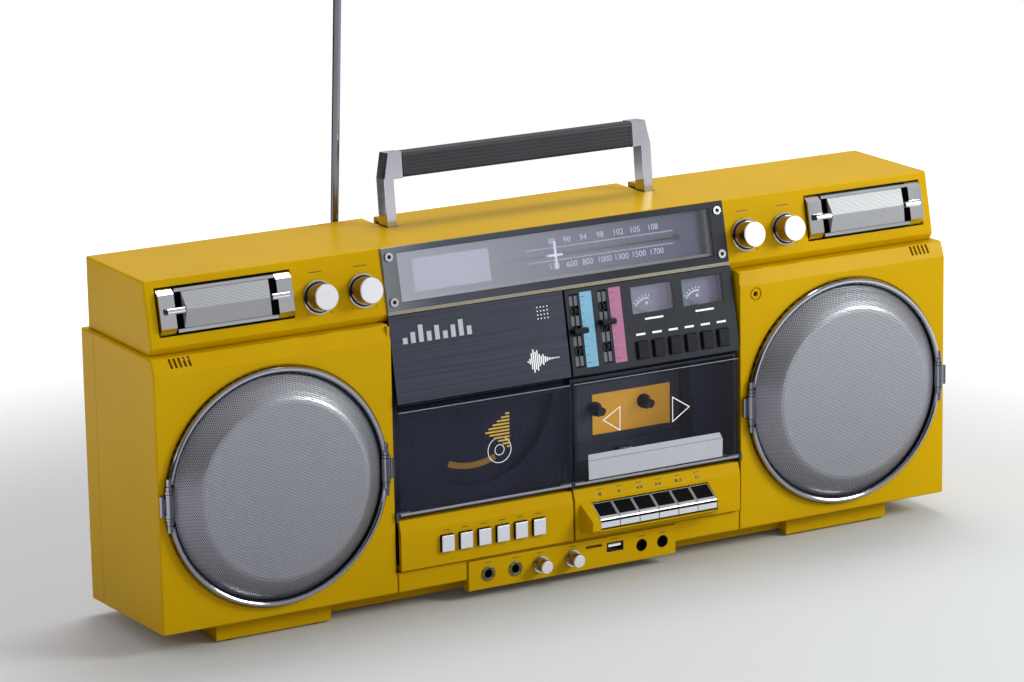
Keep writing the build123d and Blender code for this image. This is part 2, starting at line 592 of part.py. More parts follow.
with BuildPart() as trim_panel:
    slab(MID, (-CENTRE_HALF, -PANEL_GAP), (0, MID_HEIGHT), (-2.2, 0))
    prism([(MID_BOTTOM[0] + 0.1, 158.2), (3.6, 154.9), (4.3, 156.2), (-1.2, 159.4)],
          (-CENTRE_HALF, -PANEL_GAP))
    # Carrier that steps back behind the shadow line and joins the panel to the disc door.
    prism([(0.5, DOOR_HIGH - 5), (0.5, 151.4), (4.4, 154.4), (8.8, 214.0), (11.4, 214.0),
           (6.4, 152.6), (2.0, DOOR_HIGH - 5)], (-CENTRE_HALF + 4, -PANEL_GAP - 4))
    prism([(2.0, 160.0), (9.6, 206.0), (14.0, 206.0), (14.0, 160.0)],
          (DISC_X - 60, DISC_X + 60), Mode.SUBTRACT)
save(trim_panel, "trim_panel")

with BuildPart() as cassette_door:
    door_x = (PANEL_GAP, CENTRE_HALF)
    slab(FACE, door_x, (DOOR_LOW, DOOR_HIGH), (DOOR_OUT - DOOR_T, DOOR_OUT))
    rim = cassette_door.edges().group_by(Axis.Y)[0]
    chamfer(rim, 0.7)
    hinge_bores(door_x)
    # Pocket rails that hold the cassette by its edges.
    ledge = REEL_Z - HUB_ABOVE_LEDGE - 0.2
    pocket = CASSETTE[0] / 2 + GAP
    for side in SIDES:
        rail = middle(REEL_X) + side * pocket
        slab(FACE, sorted((rail, rail + side * 1.4)), (ledge - 1.4, ledge + 36), (-12.4, -0.3))
    slab(FACE, (middle(REEL_X) - pocket, middle(REEL_X) + pocket), (ledge - 1.4, ledge), (-12.4, -0.3))
save(cassette_door, "cassette_door")

with BuildPart() as deck_chassis:
    # Disc bay: side walls, deck plate and the round well with its bearing.
    slab(FACE, (-CENTRE_HALF - 2.5, CENTRE_HALF + 2.5), (70.9, 73.0), (-27.0, -4.0))
    slab(FACE, (-145.2, -1.2), (73.0, 216.0), (-DECK_Y - 2, -DECK_Y))
    for x in (-145.2, -1.0):
        slab(FACE, (x, x + 2.0), (73.0, 214.0), (-DECK_Y - 2, -12.6))
    disc(FACE, (DISC_X, DISC_Z), WELL_R + 1.2, (-WELL_Y - 2, -DECK_Y))
    disc(FACE, (DISC_X, DISC_Z), WELL_R, (-WELL_Y, -DECK_Y + 1), Mode.SUBTRACT)
    # Tape bay: a box with the reel drives' bearings in its floor.
    slab(FACE, (1.0, 145.2), (72.6, 154.2), (-TAPE_Y - 2, -2.4))
    slab(FACE, (2.6, 143.2), (73.4, 152.6), (-TAPE_Y, -2.0), Mode.SUBTRACT)
    slab(FACE, (112.5, 143.6), (73.0, 153.0), (-TAPE_Y - 1, -15.0))
    slab(FACE, (-CENTRE_HALF + 10, 144.0), (74.0, 96.0), (-WELL_Y - 4, -WELL_Y - 2))
    disc(FACE, (DISC_X, DISC_Z), 3.0 + RUNNING, (-40, 0), Mode.SUBTRACT)
    for x in REEL_X:
        disc(FACE, (x, REEL_Z), 2.0 + RUNNING, (-40, 0), Mode.SUBTRACT)
    # Ears beside the doors' feet, with the pins that the doors swing on.
    for x, ends in ((-CENTRE_HALF - 1.4, (7.0,)), (0, (-7.0, 7.0)), (CENTRE_HALF + 1.4, (-7.0,))):
        half = 0.6 if x == 0 else 1.1
        prism([(13.2, 71.2), (-2.1, 71.2), (-2.1, 77.6), (13.2, 77.6)], (x - half, x + half))
        for end in ends:
            cross_rod(sorted((x, x + end)), *DOOR_PIVOT, HINGE_PIN_R)
    # Brackets under the shelf, with the shaft that the transport keys turn on.
    for x in (12.4, KEYS_X1 + 1.0):
        slab(FACE, (x, x + 2.0), (49.5, 71.5), (-16.0, -9.0))
    cross_rod((12.4, KEYS_X1 + 3.0), -KEY_PIVOT[0], KEY_PIVOT[1], KEY_SHAFT_R)
save(deck_chassis, "deck_chassis")

with BuildPart() as cd_turntable:
    disc(FACE, (DISC_X, DISC_Z), 15.0, (-WELL_Y + 1.0, -WELL_Y + 3.0))
    disc(FACE, (DISC_X, DISC_Z), 7.4, (-WELL_Y + 3.0, -WELL_Y + 5.6))
    disc(FACE, (DISC_X, DISC_Z), 5.0, (-WELL_Y + 5.6, -WELL_Y + 7.0))
    disc(FACE, (DISC_X, DISC_Z), 3.0, (-WELL_Y - 8.0, -WELL_Y + 1.5))
save(cd_turntable, "cd_turntable")

for name, x in zip(("left", "right"), REEL_X):
    with BuildPart() as reel_drive:
        disc(FACE, (x, REEL_Z), 5.4, (-TAPE_Y + 0.6, -TAPE_Y + 3.0))
        disc(FACE, (x, REEL_Z), 3.4, (-TAPE_Y + 3.0, -TAPE_Y + 12.0))
        with Locations(FACE):
            with Locations((x, REEL_Z, -TAPE_Y + 8.0)):
                with PolarLocations(3.4, 3):
                    Box(2.4, 1.6, 5.0)
        disc(FACE, (x, REEL_Z), 2.0, (-TAPE_Y - 8.0, -TAPE_Y + 1.0))
    save(reel_drive, f"{name}_reel_drive")

# ---------------------------------------------------------------- lower fascia

FASCIA_OUTLINE = [(0.4, FASCIA_LOW), (-FASCIA_OUT, FASCIA_LOW), (-FASCIA_OUT, FASCIA_EDGE),
                  (-0.5, FASCIA_HIGH), (9.0, FASCIA_HIGH), (9.0, FASCIA_HIGH - 2.4),
                  (1.4, FASCIA_HIGH - 2.4), (0.2, FASCIA_EDGE), (0.2, FASCIA_LOW + 2.4),
                  (9.0, FASCIA_LOW + 2.4), (9.0, FASCIA_LOW)]
with BuildPart() as lower_fascia:
    prism(FASCIA_OUTLINE, (-CENTRE_HALF, -PANEL_GAP))
    prism(FASCIA_OUTLINE, (PANEL_GAP, CENTRE_HALF))
    for i in range(6):
        x = PRESET_X0 + i * PRESET_PITCH
        slab(FACE, (x - PRESET_SIZE[0] / 2 - GAP, x + PRESET_SIZE[0] / 2 + GAP),
             (PRESET_Z - PRESET_SIZE[1] / 2 - GAP, PRESET_Z + PRESET_SIZE[1] / 2 + GAP), (-1, 5),
             Mode.SUBTRACT)
    # Cheeks and floor of the key nest, and the opening behind the keys.
    with BuildSketch(FACE.offset(FASCIA_OUT - 0.2)):
        with BuildLine():
            Polyline((5.2, 37.4), (5.2, 59.9), (KEY_X0 - 0.5, 59.9), (KEY_X0 - 0.5, 37.4), close=True)
        make_face()
    with BuildSketch(FACE.offset(KEY_LIP_OUT + 0.4)):
        with BuildLine():
            Polyline((7.4, 41.4), (7.4, 49.0), (KEY_X0 - 0.5, 49.0), (KEY_X0 - 0.5, 41.4), close=True)
        make_face()
    loft()
    with BuildSketch(FACE.offset(FASCIA_OUT - 0.2)):
        with BuildLine():
            Polyline((KEYS_X1 + 0.5, 37.4), (KEYS_X1 + 0.5, 59.9), (129.0, 59.9), (129.0, 37.4),
                     close=True)
        make_face()
    with BuildSketch(FACE.offset(KEY_LIP_OUT + 0.4)):
        with BuildLine():
            Polyline((KEYS_X1 + 0.5, 41.4), (KEYS_X1 + 0.5, 49.0), (127.0, 49.0), (127.0, 41.4),
                     close=True)
        make_face()
    loft()
    prism([(-FASCIA_OUT + 0.5, 37.4), (-FASCIA_OUT + 0.5, 38.9), (-17.0, 41.6), (-17.0, 40.6)],
          (KEY_X0 - 1, KEYS_X1 + 1))
    slab(FACE, (KEY_X0 - 0.5, KEYS_X1 + 0.5), (41.0, 59.6), (-0.4, FASCIA_OUT + 0.4), Mode.SUBTRACT)
save(lower_fascia, "lower_fascia")

for i in range(6):
    with BuildPart() as preset_button:
        x = PRESET_X0 + i * PRESET_PITCH
        half_w = PRESET_SIZE[0] / 2
        half_h = PRESET_SIZE[1] / 2
        slab(FACE, (x - half_w, x + half_w), (PRESET_Z - half_h, PRESET_Z + half_h),
             (0.2, FASCIA_OUT + 2.8))
        rim = preset_button.edges().group_by(Axis.Y)[0]
        fillet(rim, 0.6)
        slab(FACE, (x - 2, x + 2), (PRESET_Z - 2, PRESET_Z + 2), (-6, 0.4))
    save(preset_button, f"preset_button_{i + 1}")

slope = degrees(atan2(KEY_TOP_BACK[1] - KEY_TOP_FRONT[1], KEY_TOP_FRONT[0] - KEY_TOP_BACK[0]))
for i in range(6):
    with BuildPart() as transport_key:
        x0 = KEY_X0 + i * KEY_PITCH
        x1 = x0 + KEY_W
        prism([(-KEY_TOP_BACK[0], KEY_TOP_BACK[1]), (-KEY_TOP_FRONT[0], KEY_TOP_FRONT[1]),
               (-KEY_LIP_OUT, KEY_TOP_FRONT[1] - 0.8), (-KEY_LIP_OUT, KEY_LOW),
               (-KEY_LIP_OUT + 2.0, KEY_LOW), (-2.0, 47.5), (-2.0, 57.9)], (x0, x1))
        # Sunk field for the dark insert on the sloping top.
        key_top = Plane(origin=(middle((x0, x1)), FACE_Y - KEY_TOP_BACK[0], KEY_TOP_BACK[1]),
                        x_dir=(1, 0, 0),
                        z_dir=(0, -sin(radians(slope)), cos(radians(slope))))
        slab(key_top, (-KEY_W / 2 + 0.7, KEY_W / 2 - 0.7), (-13.0, -0.6), (-0.5, 1), Mode.SUBTRACT)
        # A groove parts the insert's lip from the chrome front.
        slab(FACE, (x0 - 1, x1 + 1), (48.1, 48.6), (KEY_LIP_OUT - 0.4, KEY_LIP_OUT + 1), Mode.SUBTRACT)
        # Lever back to the key's shaft.
        prism([(-2.6, 48.5), (-2.6, 57.0), (12.0, 56.4), (16.0, 53.0), (12.0, 49.6)],
              (x0 + 5.0, x0 + 11.0))
        cross_rod((x0 + 4.0, x0 + 12.0), -KEY_PIVOT[0], KEY_PIVOT[1], KEY_SHAFT_R + RUNNING,
                  Mode.SUBTRACT)
    save(transport_key, f"transport_key_{i + 1}")

# ---------------------------------------------------------------- connectors

with BuildPart() as jack_panel:
    slab(FACE, (-JACK_HALF, JACK_HALF), (JACK_LOW, JACK_HIGH), (-6.0, JACK_OUT))
    rim = jack_panel.edges().group_by(Axis.Y)[0]
    fillet(rim, 0.6)
    for x in MIC_JACKS:
        disc(FACE, (x, JACK_Z), MIC_BARREL_R + GAP, (-8, 3), Mode.SUBTRACT)
    for x in AUX_JACKS:
        disc(FACE, (x, JACK_Z), AUX_BARREL_R + GAP, (-8, 3), Mode.SUBTRACT)
    for x in LEVEL_KNOBS.values():
        disc(FACE, (x, JACK_Z), 2.0 + GAP, (-8, 3), Mode.SUBTRACT)
    slab(FACE, (USB_AT[0] - 7.3, USB_AT[0] + 7.3), (USB_AT[1] - 3.6, USB_AT[1] + 3.6), (-8, 3),
         Mode.SUBTRACT)
    slab(FACE, (CARD_AT[0] - 7.0, CARD_AT[0] + 7.0), (CARD_AT[1] - 1.1, CARD_AT[1] + 1.1), (-8, 3),
         Mode.SUBTRACT)
save(jack_panel, "jack_panel")

with BuildPart() as sockets:
    for x in MIC_JACKS:
        disc(FACE, (x, JACK_Z), MIC_BARREL_R, (-15, JACK_OUT + 0.2))
        turned(x, JACK_Z, [(MIC_BARREL_R - 0.2, JACK_OUT + 0.1), (5.7, JACK_OUT + 0.1),
                           (5.7, JACK_OUT + 0.5), (5.1, JACK_OUT + 1.0), (4.4, JACK_OUT + 1.0),
                           (3.6, JACK_OUT + 0.2)])
        disc(FACE, (x, JACK_Z), 3.25, (-12, 4), Mode.SUBTRACT)
    for x in AUX_JACKS:
        disc(FACE, (x, JACK_Z), AUX_BARREL_R, (-15, JACK_OUT + 0.5))
        disc(FACE, (x, JACK_Z), 3.4, (JACK_OUT - 0.4, 4), Mode.SUBTRACT)
        disc(FACE, (x, JACK_Z), 1.8, (-13, 4), Mode.SUBTRACT)
    slab(FACE, (USB_AT[0] - 7.0, USB_AT[0] + 7.0), (USB_AT[1] - 3.3, USB_AT[1] + 3.3), (-13, JACK_OUT))
    slab(FACE, (USB_AT[0] - 6.2, USB_AT[0] + 6.2), (USB_AT[1] - 2.5, USB_AT[1] + 2.5), (-12, 3),
         Mode.SUBTRACT)
    # Mains inlet in the rear cover: a sleeve with two pins.
    slab(FACE, (248, 274), (45, 61), (-COVER_BACK + 0.6, -COVER_BACK + 18))
    slab(FACE, (250, 272), (47, 59), (-COVER_BACK - 1, -COVER_BACK + 16), Mode.SUBTRACT)
    for x in (256.7, 265.3):
        disc(FACE, (x, 53.0), 1.2, (-COVER_BACK + 3, -COVER_BACK + 17))
save(sockets, "sockets")

with BuildPart() as main_board:
    slab(FACE, (-130, 130), (84, 205), (-78, -76.4))
    for x, z, w, h, d in ((-90, 180, 40, 30, 12), (-20, 175, 34, 34, 6), (60, 180, 60, 24, 20),
                          (-90, 120, 30, 40, 16), (10, 115, 70, 26, 10), (95, 120, 30, 50, 24)):
        slab(FACE, (x - w / 2, x + w / 2), (z - h / 2, z + h / 2), (-76.6, -76.4 + d))
    # Mains transformer beside the board, on the cabinet's floor.
    slab(FACE, (-126, -66), (24, 72), (-94, -44))
    slab(FACE, (-134, -58), (34, 62), (-88, -50))
save(main_board, "main_board")

# ---------------------------------------------------------------- handle

lean = radians(HANDLE_LEAN)
HANDLE = Plane(origin=(0, FACE_Y + HANDLE_PIVOT[0], HANDLE_PIVOT[1]), x_dir=(1, 0, 0),
               z_dir=(0, -cos(lean), sin(lean)))
with BuildPart() as handle_arms:
    for side in SIDES:
        outer_x = HANDLE_X + side * HANDLE_HALF
        inner_x = outer_x - side * ARM_T
        with BuildSketch(HANDLE.offset(-ARM_D / 2)):
            with BuildLine():
                Polyline((outer_x, -6.5), (outer_x, HANDLE_REACH - 18.8),
                         (outer_x - side * 4.0, HANDLE_REACH),
                         (outer_x - side * BRACKET_W, HANDLE_REACH),
                         (outer_x - side * BRACKET_W, HANDLE_REACH - GRIP_H),
                         (inner_x, HANDLE_REACH - GRIP_H), (inner_x, -6.5), close=True)
            make_face()
        extrude(amount=ARM_D)
    edges = handle_arms.edges().filter_by(Axis(HANDLE.origin, HANDLE.z_dir), reverse=True)
    chamfer(edges.filter_by_position(Axis.Z, HANDLE_PIVOT[1] + 8, 400), 0.45)
    for side in SIDES:
        centre = HANDLE_X + side * (HANDLE_HALF - ARM_T / 2)
        cross_rod((centre - 8.0, centre + 8.0), *HANDLE_PIVOT, PIN_R)
save(handle_arms, "handle_arms")

with BuildPart() as handle_grip:
    grip_half = HANDLE_HALF - BRACKET_W - 0.05
    slab(HANDLE, (HANDLE_X - grip_half, HANDLE_X + grip_half),
         (HANDLE_REACH - GRIP_H + 0.4, HANDLE_REACH - 0.4), (-GRIP_D / 2, GRIP_D / 2))
    fillet(handle_grip.edges().filter_by(Axis.X), 2.6)
    # Five finger ribs along the front and the back.
    for face_side in SIDES:
        for rib in range(5):
            up = HANDLE_REACH - GRIP_H / 2 + (rib - 2) * 2.7
            slab(HANDLE, (HANDLE_X - grip_half + 2, HANDLE_X + grip_half - 2), (up - 0.5, up + 0.5),
                 sorted((face_side * (GRIP_D / 2 - 0.6), face_side * (GRIP_D / 2 + 1))),
                 Mode.SUBTRACT)
save(handle_grip, "handle_grip")

# ---------------------------------------------------------------- antenna

antenna_at = (ANTENNA_X, FACE_Y + ANTENNA_Y)
with BuildPart() as antenna_base:
    with Locations((*antenna_at, 233.5)):
        Cylinder(2.5, 12, align=(Align.CENTER, Align.CENTER, Align.MIN))
    with Locations((*antenna_at, 238.3)):
        Cylinder(5.6, 7.2, align=(Align.CENTER, Align.CENTER, Align.MIN))
    with Locations((*antenna_at, ANTENNA_PIVOT_Z - 2.0)):
        Box(6.8, 9.6, 10.4)
    with Locations((*antenna_at, ANTENNA_PIVOT_Z + 2.0)):
        Box(12.0, 5.4, 14.0, mode=Mode.SUBTRACT)
    fork_axis = Plane(origin=(ANTENNA_X, FACE_Y + ANTENNA_Y, ANTENNA_PIVOT_Z), z_dir=(0, 1, 0))
    with Locations(fork_axis):
        Cylinder(1.5, 9.6)
save(antenna_base, "antenna_base")

antenna_lean = radians(ANTENNA_LEAN)
ANTENNA = Plane(origin=(*antenna_at, ANTENNA_PIVOT_Z), x_dir=(cos(antenna_lean), 0, -sin(antenna_lean)),
                z_dir=(sin(antenna_lean), 0, cos(antenna_lean)))


def rod(radius, low, high, mode=Mode.ADD):
    """A round length of the antenna, between two distances from its tilt axis."""
    with Locations(ANTENNA):
        with Locations((0, 0, middle((low, high)))):
            Cylinder(radius, high - low, mode=mode)


with BuildPart() as antenna_tube:
    rod(ROD_R, 6.5, ROD_LENGTH)
    with Locations(ANTENNA):
        with Locations((0, 0, 3.5)):
            Box(5.2, 4.6, 8.4)
    with Locations(fork_axis):
        Cylinder(2.8, 4.6)
    with Locations(fork_axis):
        Cylinder(1.5 + RUNNING, 12, mode=Mode.SUBTRACT)
    rod(ROD_BORE, 8.0, ROD_LENGTH + 8, Mode.SUBTRACT)
save(antenna_tube, "antenna_tube")

with BuildPart() as antenna_rod:
    rod(ROD_BORE - RUNNING, 9.0, ROD_LENGTH + 1)
    rod(ROD_R, ROD_LENGTH + 0.6, ROD_LENGTH + 8.6)
    fillet(antenna_rod.edges().group_by(Axis(ANTENNA.origin, ANTENNA.z_dir))[-1], 1.4)
save(antenna_rod, "antenna_rod")
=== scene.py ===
"""Looks of the portable boombox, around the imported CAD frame.

Materials for the CAD nodes, printed marks, windows, meters, floor, lights and camera."""
import math

import bpy
from mathutils import Matrix, Vector


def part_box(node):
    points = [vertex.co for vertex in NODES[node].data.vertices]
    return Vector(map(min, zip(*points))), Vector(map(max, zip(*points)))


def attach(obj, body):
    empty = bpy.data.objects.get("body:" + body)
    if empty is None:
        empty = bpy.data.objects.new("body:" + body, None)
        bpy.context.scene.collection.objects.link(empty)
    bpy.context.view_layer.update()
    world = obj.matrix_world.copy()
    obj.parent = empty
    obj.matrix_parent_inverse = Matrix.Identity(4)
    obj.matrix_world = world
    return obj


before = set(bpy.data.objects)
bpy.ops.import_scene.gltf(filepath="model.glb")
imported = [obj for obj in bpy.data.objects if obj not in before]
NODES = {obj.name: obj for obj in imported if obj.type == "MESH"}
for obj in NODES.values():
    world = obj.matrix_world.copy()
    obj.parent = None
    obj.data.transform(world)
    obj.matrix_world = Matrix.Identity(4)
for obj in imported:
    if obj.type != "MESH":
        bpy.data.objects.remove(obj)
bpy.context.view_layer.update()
MM = 0.001

# ---------------------------------------------------------------- planes that carry the details
# Every plane has local (x, up, out) coordinates in millimetres, as the CAD source has.
FACE_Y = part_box("front_cabinet")[0].y / MM
DIAL_BOTTOM = (10.6, 222.3)
DIAL_TOP = (20.75, 269.1)
MID_BOTTOM = (-3.5, 158.3)
MID_TOP = (8.6, 220.8)
FASCIA_EDGE = (-3.3, 61.8)
FASCIA_TOP = (-0.5, 70.4)


class Surface:
    """A flat place on the object: at(x, up, out) gives the point in metres in the row frame."""

    def __init__(self, origin, up, out):
        self.origin = Vector(origin)
        self.right = Vector((1, 0, 0))
        self.up = Vector(up).normalized()
        self.out = Vector(out).normalized()

    def at(self, x, up, out=0.0):
        return (self.origin + self.right * x + self.up * up + self.out * out) * MM


def leaning(bottom, top):
    """The surface through two (behind the face, height) points, facing forward."""
    up = Vector((0, top[0] - bottom[0], top[1] - bottom[1])).normalized()
    return Surface((0, FACE_Y + bottom[0], bottom[1]), up, (0, -up.z, up.y))


FACE = Surface((0, FACE_Y, 0), (0, 0, 1), (0, -1, 0))
DIAL = leaning(DIAL_BOTTOM, DIAL_TOP)
MID = leaning(MID_BOTTOM, MID_TOP)
LEDGE = leaning(FASCIA_EDGE, FASCIA_TOP)

# ---------------------------------------------------------------- material helpers


def srgb(red, green, blue):
    """Linear colour from 0 to 255 display values."""
    channels = [c / 255 for c in (red, green, blue)]
    linear = [c / 12.92 if c <= 0.04045 else ((c + 0.055) / 1.055) ** 2.4 for c in channels]
    return (*linear, 1.0)


class Material:
    """A Principled material with a few procedural helpers."""

    def __init__(self, name, colour, roughness=0.4, metallic=0.0, **sockets):
        self.data = bpy.data.materials.new(name)
        self.data.use_nodes = True
        self.nodes = self.data.node_tree.nodes
        self.links = self.data.node_tree.links
        self.shader = self.nodes["Principled BSDF"]
        self.set("Base Color", colour)
        self.set("Roughness", roughness)
        self.set("Metallic", metallic)
        for socket, value in sockets.items():
            self.set(socket.replace("_", " "), value)

    def set(self, socket, value):
        self.shader.inputs[socket].default_value = value

    def node(self, kind, **values):
        made = self.nodes.new("ShaderNode" + kind)
        for key, value in values.items():
            if hasattr(made, key):
                setattr(made, key, value)
            else:
                made.inputs[key.replace("_", " ")].default_value = value
        return made

    def link(self, source, target):
        self.links.new(source, target)

    def position(self, scale=(1, 1, 1)):
        """Object coordinates, scaled."""
        coords = self.node("TexCoord")
        mapping = self.node("Mapping")
        mapping.inputs["Scale"].default_value = scale
        self.link(coords.outputs["Object"], mapping.inputs["Vector"])
        return mapping.outputs["Vector"]

    def noise(self, scale, detail=3.0, stretch=(1, 1, 1), roughness=0.5):
        texture = self.node("TexNoise", Scale=scale, Detail=detail, Roughness=roughness)
        self.link(self.position(stretch), texture.inputs["Vector"])
        return texture.outputs["Fac"]

    def math(self, operation, first, second=None):
        step = self.node("Math", operation=operation)
        for socket, value in zip(step.inputs, (first, second)):
            if value is None:
                continue
            if isinstance(value, (int, float)):
                socket.default_value = value
            else:
                self.link(value, socket)
        return step.outputs[0]

    def bump(self, height, distance, strength=1.0):
        step = self.node("Bump")
        step.inputs["Strength"].default_value = strength
        step.inputs["Distance"].default_value = distance
        self.link(height, step.inputs["Height"])
        self.link(step.outputs["Normal"], self.shader.inputs["Normal"])
        return step

    def ramp(self, factor, stops):
        """A colour ramp of (position, colour) stops."""
        step = self.node("ValToRGB")
        elements = step.color_ramp.elements
        while len(elements) < len(stops):
            elements.new(0.5)
        for element, (position, colour) in zip(elements, stops):
            element.position = position
            element.color = colour
        self.link(factor, step.inputs["Fac"])
        return step.outputs["Color"]

    def axes(self):
        """Object coordinates as three separate outputs, X, Y and Z."""
        coords = self.node("TexCoord")
        split = self.node("SeparateXYZ")
        self.link(coords.outputs["Object"], split.inputs["Vector"])
        return split.outputs

    def remap(self, value, start, end, low=0.0, high=1.0, smooth=False):
        """Carries the range from start to end over to low to high, and stops at both ends."""
        step = self.node("MapRange", interpolation_type="SMOOTHSTEP" if smooth else "LINEAR")
        for socket, number in (("From Min", start), ("From Max", end), ("To Min", low), ("To Max", high)):
            step.inputs[socket].default_value = number
        self.link(value, step.inputs["Value"])
        return step.outputs["Result"]

    def vary_roughness(self, factor, low, high):
        self.link(self.remap(factor, 0.0, 1.0, low, high), self.shader.inputs["Roughness"])

    def tint(self, factor, dark, light, low=0.3, high=0.7):
        self.link(self.ramp(factor, [(low, dark), (high, light)]), self.shader.inputs["Base Color"])


def yellow_plastic():
    """Satin moulded plastic: a very fine grain and slow changes of gloss."""
    made = Material("yellow_plastic", srgb(194, 152, 0), 0.38, Specular_IOR_Level=0.05)
    made.tint(made.noise(9, 2.0), srgb(190, 148, 0), srgb(198, 156, 0))
    made.vary_roughness(made.noise(40, 3.0), 0.28, 0.36)
    grain = made.bump(made.noise(1500, 2.0), 0.00006, 0.35)
    corners = made.node("Bevel", samples=4)
    corners.inputs["Radius"].default_value = 0.0007
    made.link(corners.outputs["Normal"], grain.inputs["Normal"])
    return made.data


def black_plastic(name, colour, roughness, shine=0.5, grain=0.5):
    """Moulded plastic, dark or grey, with a fine grain."""
    made = Material(name, srgb(*colour), roughness, Specular_IOR_Level=shine)
    dark = srgb(*[c * 0.88 for c in colour])
    light = srgb(*[c * 1.10 for c in colour])
    made.tint(made.noise(30, 2.0), dark, light)
    made.bump(made.noise(1800, 2.0), 0.00008, grain)
    return made.data


def rubber():
    """Matt rubber with a fine grain."""
    made = Material("rubber", srgb(28, 28, 28), 0.8)
    made.tint(made.noise(60, 3.0), srgb(22, 22, 22), srgb(36, 35, 34))
    made.bump(made.noise(900, 3.0), 0.0001, 0.6)
    return made.data


def chrome(name="chrome", colour=(222, 223, 228), roughness=0.09):
    """Bright plating with faint polishing haze."""
    made = Material(name, srgb(*colour), roughness, 1.0)
    made.vary_roughness(made.noise(55, 4.0), roughness * 0.75, roughness * 1.5)
    made.tint(made.noise(14, 2.0), srgb(*[c * 0.97 for c in colour]), srgb(*colour))
    return made.data


def spun_metal(name, colour, roughness):
    """Turned metal cap: fine grooves all round."""
    made = Material(name, srgb(*colour), roughness, 1.0)
    made.vary_roughness(made.noise(900, 2.0), roughness * 0.8, roughness * 1.2)
    made.bump(made.noise(2500, 2.0), 0.00002, 0.5)
    return made.data


def brushed(name, colour, roughness, metallic=1.0, depth=0.00003):
    """Brushed sheet: noise drawn out along x."""
    stretch = (5, 2400, 2400)
    made = Material(name, srgb(*colour), roughness, metallic)
    streaks = made.noise(1.0, 4.0, stretch, 0.7)
    made.tint(streaks, srgb(*[c * 0.86 for c in colour]), srgb(*[min(c * 1.16, 255) for c in colour]),
              0.35, 0.65)
    made.vary_roughness(streaks, roughness * 0.8, roughness * 1.25)
    made.bump(streaks, depth, 0.6)
    return made.data


def perforated(name, pitch, hole, metal=(168, 168, 178), dark=(36, 36, 42), roughness=0.36):
    """Perforated sheet seen from the front: staggered round holes, worked out from x and z."""
    made = Material(name, srgb(*metal), 0.4, 1.0)
    axes = made.axes()
    row_pitch = pitch * math.sqrt(3)
    distances = []
    for shift in (0.0, 0.5):
        parts = []
        for axis, size in (("X", pitch), ("Z", row_pitch)):
            turns = made.math("MULTIPLY_ADD", axes[axis], 1 / size)
            turns.node.inputs[2].default_value = shift
            cell = made.math("FRACT", turns)
            offset = made.math("SUBTRACT", cell, 0.5)
            length = made.math("MULTIPLY", offset, size)
            parts.append(made.math("MULTIPLY", length, length))
        distances.append(made.math("SQRT", made.math("ADD", *parts)))
    nearest = made.math("MINIMUM", *distances)
    edge = pitch * 0.12
    sheet = made.remap(nearest, hole / 2 - edge, hole / 2 + edge, smooth=True)
    made.link(made.ramp(sheet, [(0.1, srgb(*dark)), (0.9, srgb(*metal))]), made.shader.inputs["Base Color"])
    made.link(sheet, made.shader.inputs["Metallic"])
    made.vary_roughness(sheet, 0.8, roughness)
    made.bump(sheet, pitch * 0.15, 0.5)
    return made.data


ACRYLIC_IOR = 1.49


def clear_sheet(name, tint, haze, gloss=1.0, window=None):
    """Polished clear plastic: tinted where it is looked through, with reflections on its outer side.

    haze is (colour, amount at the left end, amount at the right end, half width in metres) of a diffuse veil
    over the outer side; a veil whose amount falls from one end to the other is a painted reflection;
    window is the (x limits, z limits) in metres of an untinted part."""
    made = Material(name, (1, 1, 1, 1), 0.03, 1.0)
    made.vary_roughness(made.noise(25, 2.0), 0.02, 0.05)
    through = made.node("BsdfTransparent")
    through.inputs["Color"].default_value = srgb(*tint)
    axes = made.axes()
    if window:
        inside = None
        for axis, (low, high) in zip(("X", "Z"), window):
            for operation, limit in (("GREATER_THAN", low), ("LESS_THAN", high)):
                part = made.math(operation, axes[axis], limit)
                inside = part if inside is None else made.math("MULTIPLY", inside, part)
        untinted = (0.95, 0.95, 0.96, 1)
        made.link(made.ramp(inside, [(0.0, srgb(*tint)), (1.0, untinted)]), through.inputs["Color"])
    fresnel = made.node("Fresnel")
    fresnel.inputs["IOR"].default_value = ACRYLIC_IOR
    geometry = made.node("NewGeometry")
    outside = made.math("SUBTRACT", 1.0, geometry.outputs["Backfacing"])
    mirror = made.node("MixShader")
    strength = made.math("MULTIPLY", fresnel.outputs["Fac"], gloss)
    made.link(made.math("MULTIPLY", strength, outside), mirror.inputs[0])
    made.link(through.outputs[0], mirror.inputs[1])
    made.link(made.shader.outputs[0], mirror.inputs[2])
    colour, left, right, half = haze
    haze_and_painted_reflection = made.node("BsdfDiffuse")
    haze_and_painted_reflection.inputs["Color"].default_value = srgb(*colour)
    fade = made.remap(axes["X"], -half, half, left, right)
    veil = made.node("MixShader")
    made.link(made.math("MULTIPLY", fade, outside), veil.inputs[0])
    made.link(mirror.outputs[0], veil.inputs[1])
    made.link(haze_and_painted_reflection.outputs[0], veil.inputs[2])
    made.link(veil.outputs[0], made.nodes["Material Output"].inputs["Surface"])
    return made.data


def print_ink(name, colour, roughness=0.5, painted_glow=0.0, darkest=0.94):
    """Screen-printed ink, faintly uneven; where a glow is given, the ink glows by itself as painted light.
    """
    made = Material(name, srgb(*colour), roughness)
    made.tint(made.noise(400, 2.0), srgb(*[c * darkest for c in colour]), srgb(*colour))
    if painted_glow:
        made.set("Emission Color", srgb(*colour))
        made.set("Emission Strength", painted_glow)
    return made.data


def paper_cone():
    """Pulp paper of a speaker cone."""
    made = Material("paper_cone", srgb(38, 38, 40), 0.75)
    made.tint(made.noise(120, 4.0), srgb(28, 28, 30), srgb(48, 48, 50))
    made.bump(made.noise(500, 4.0), 0.0003, 0.6)
    return made.data


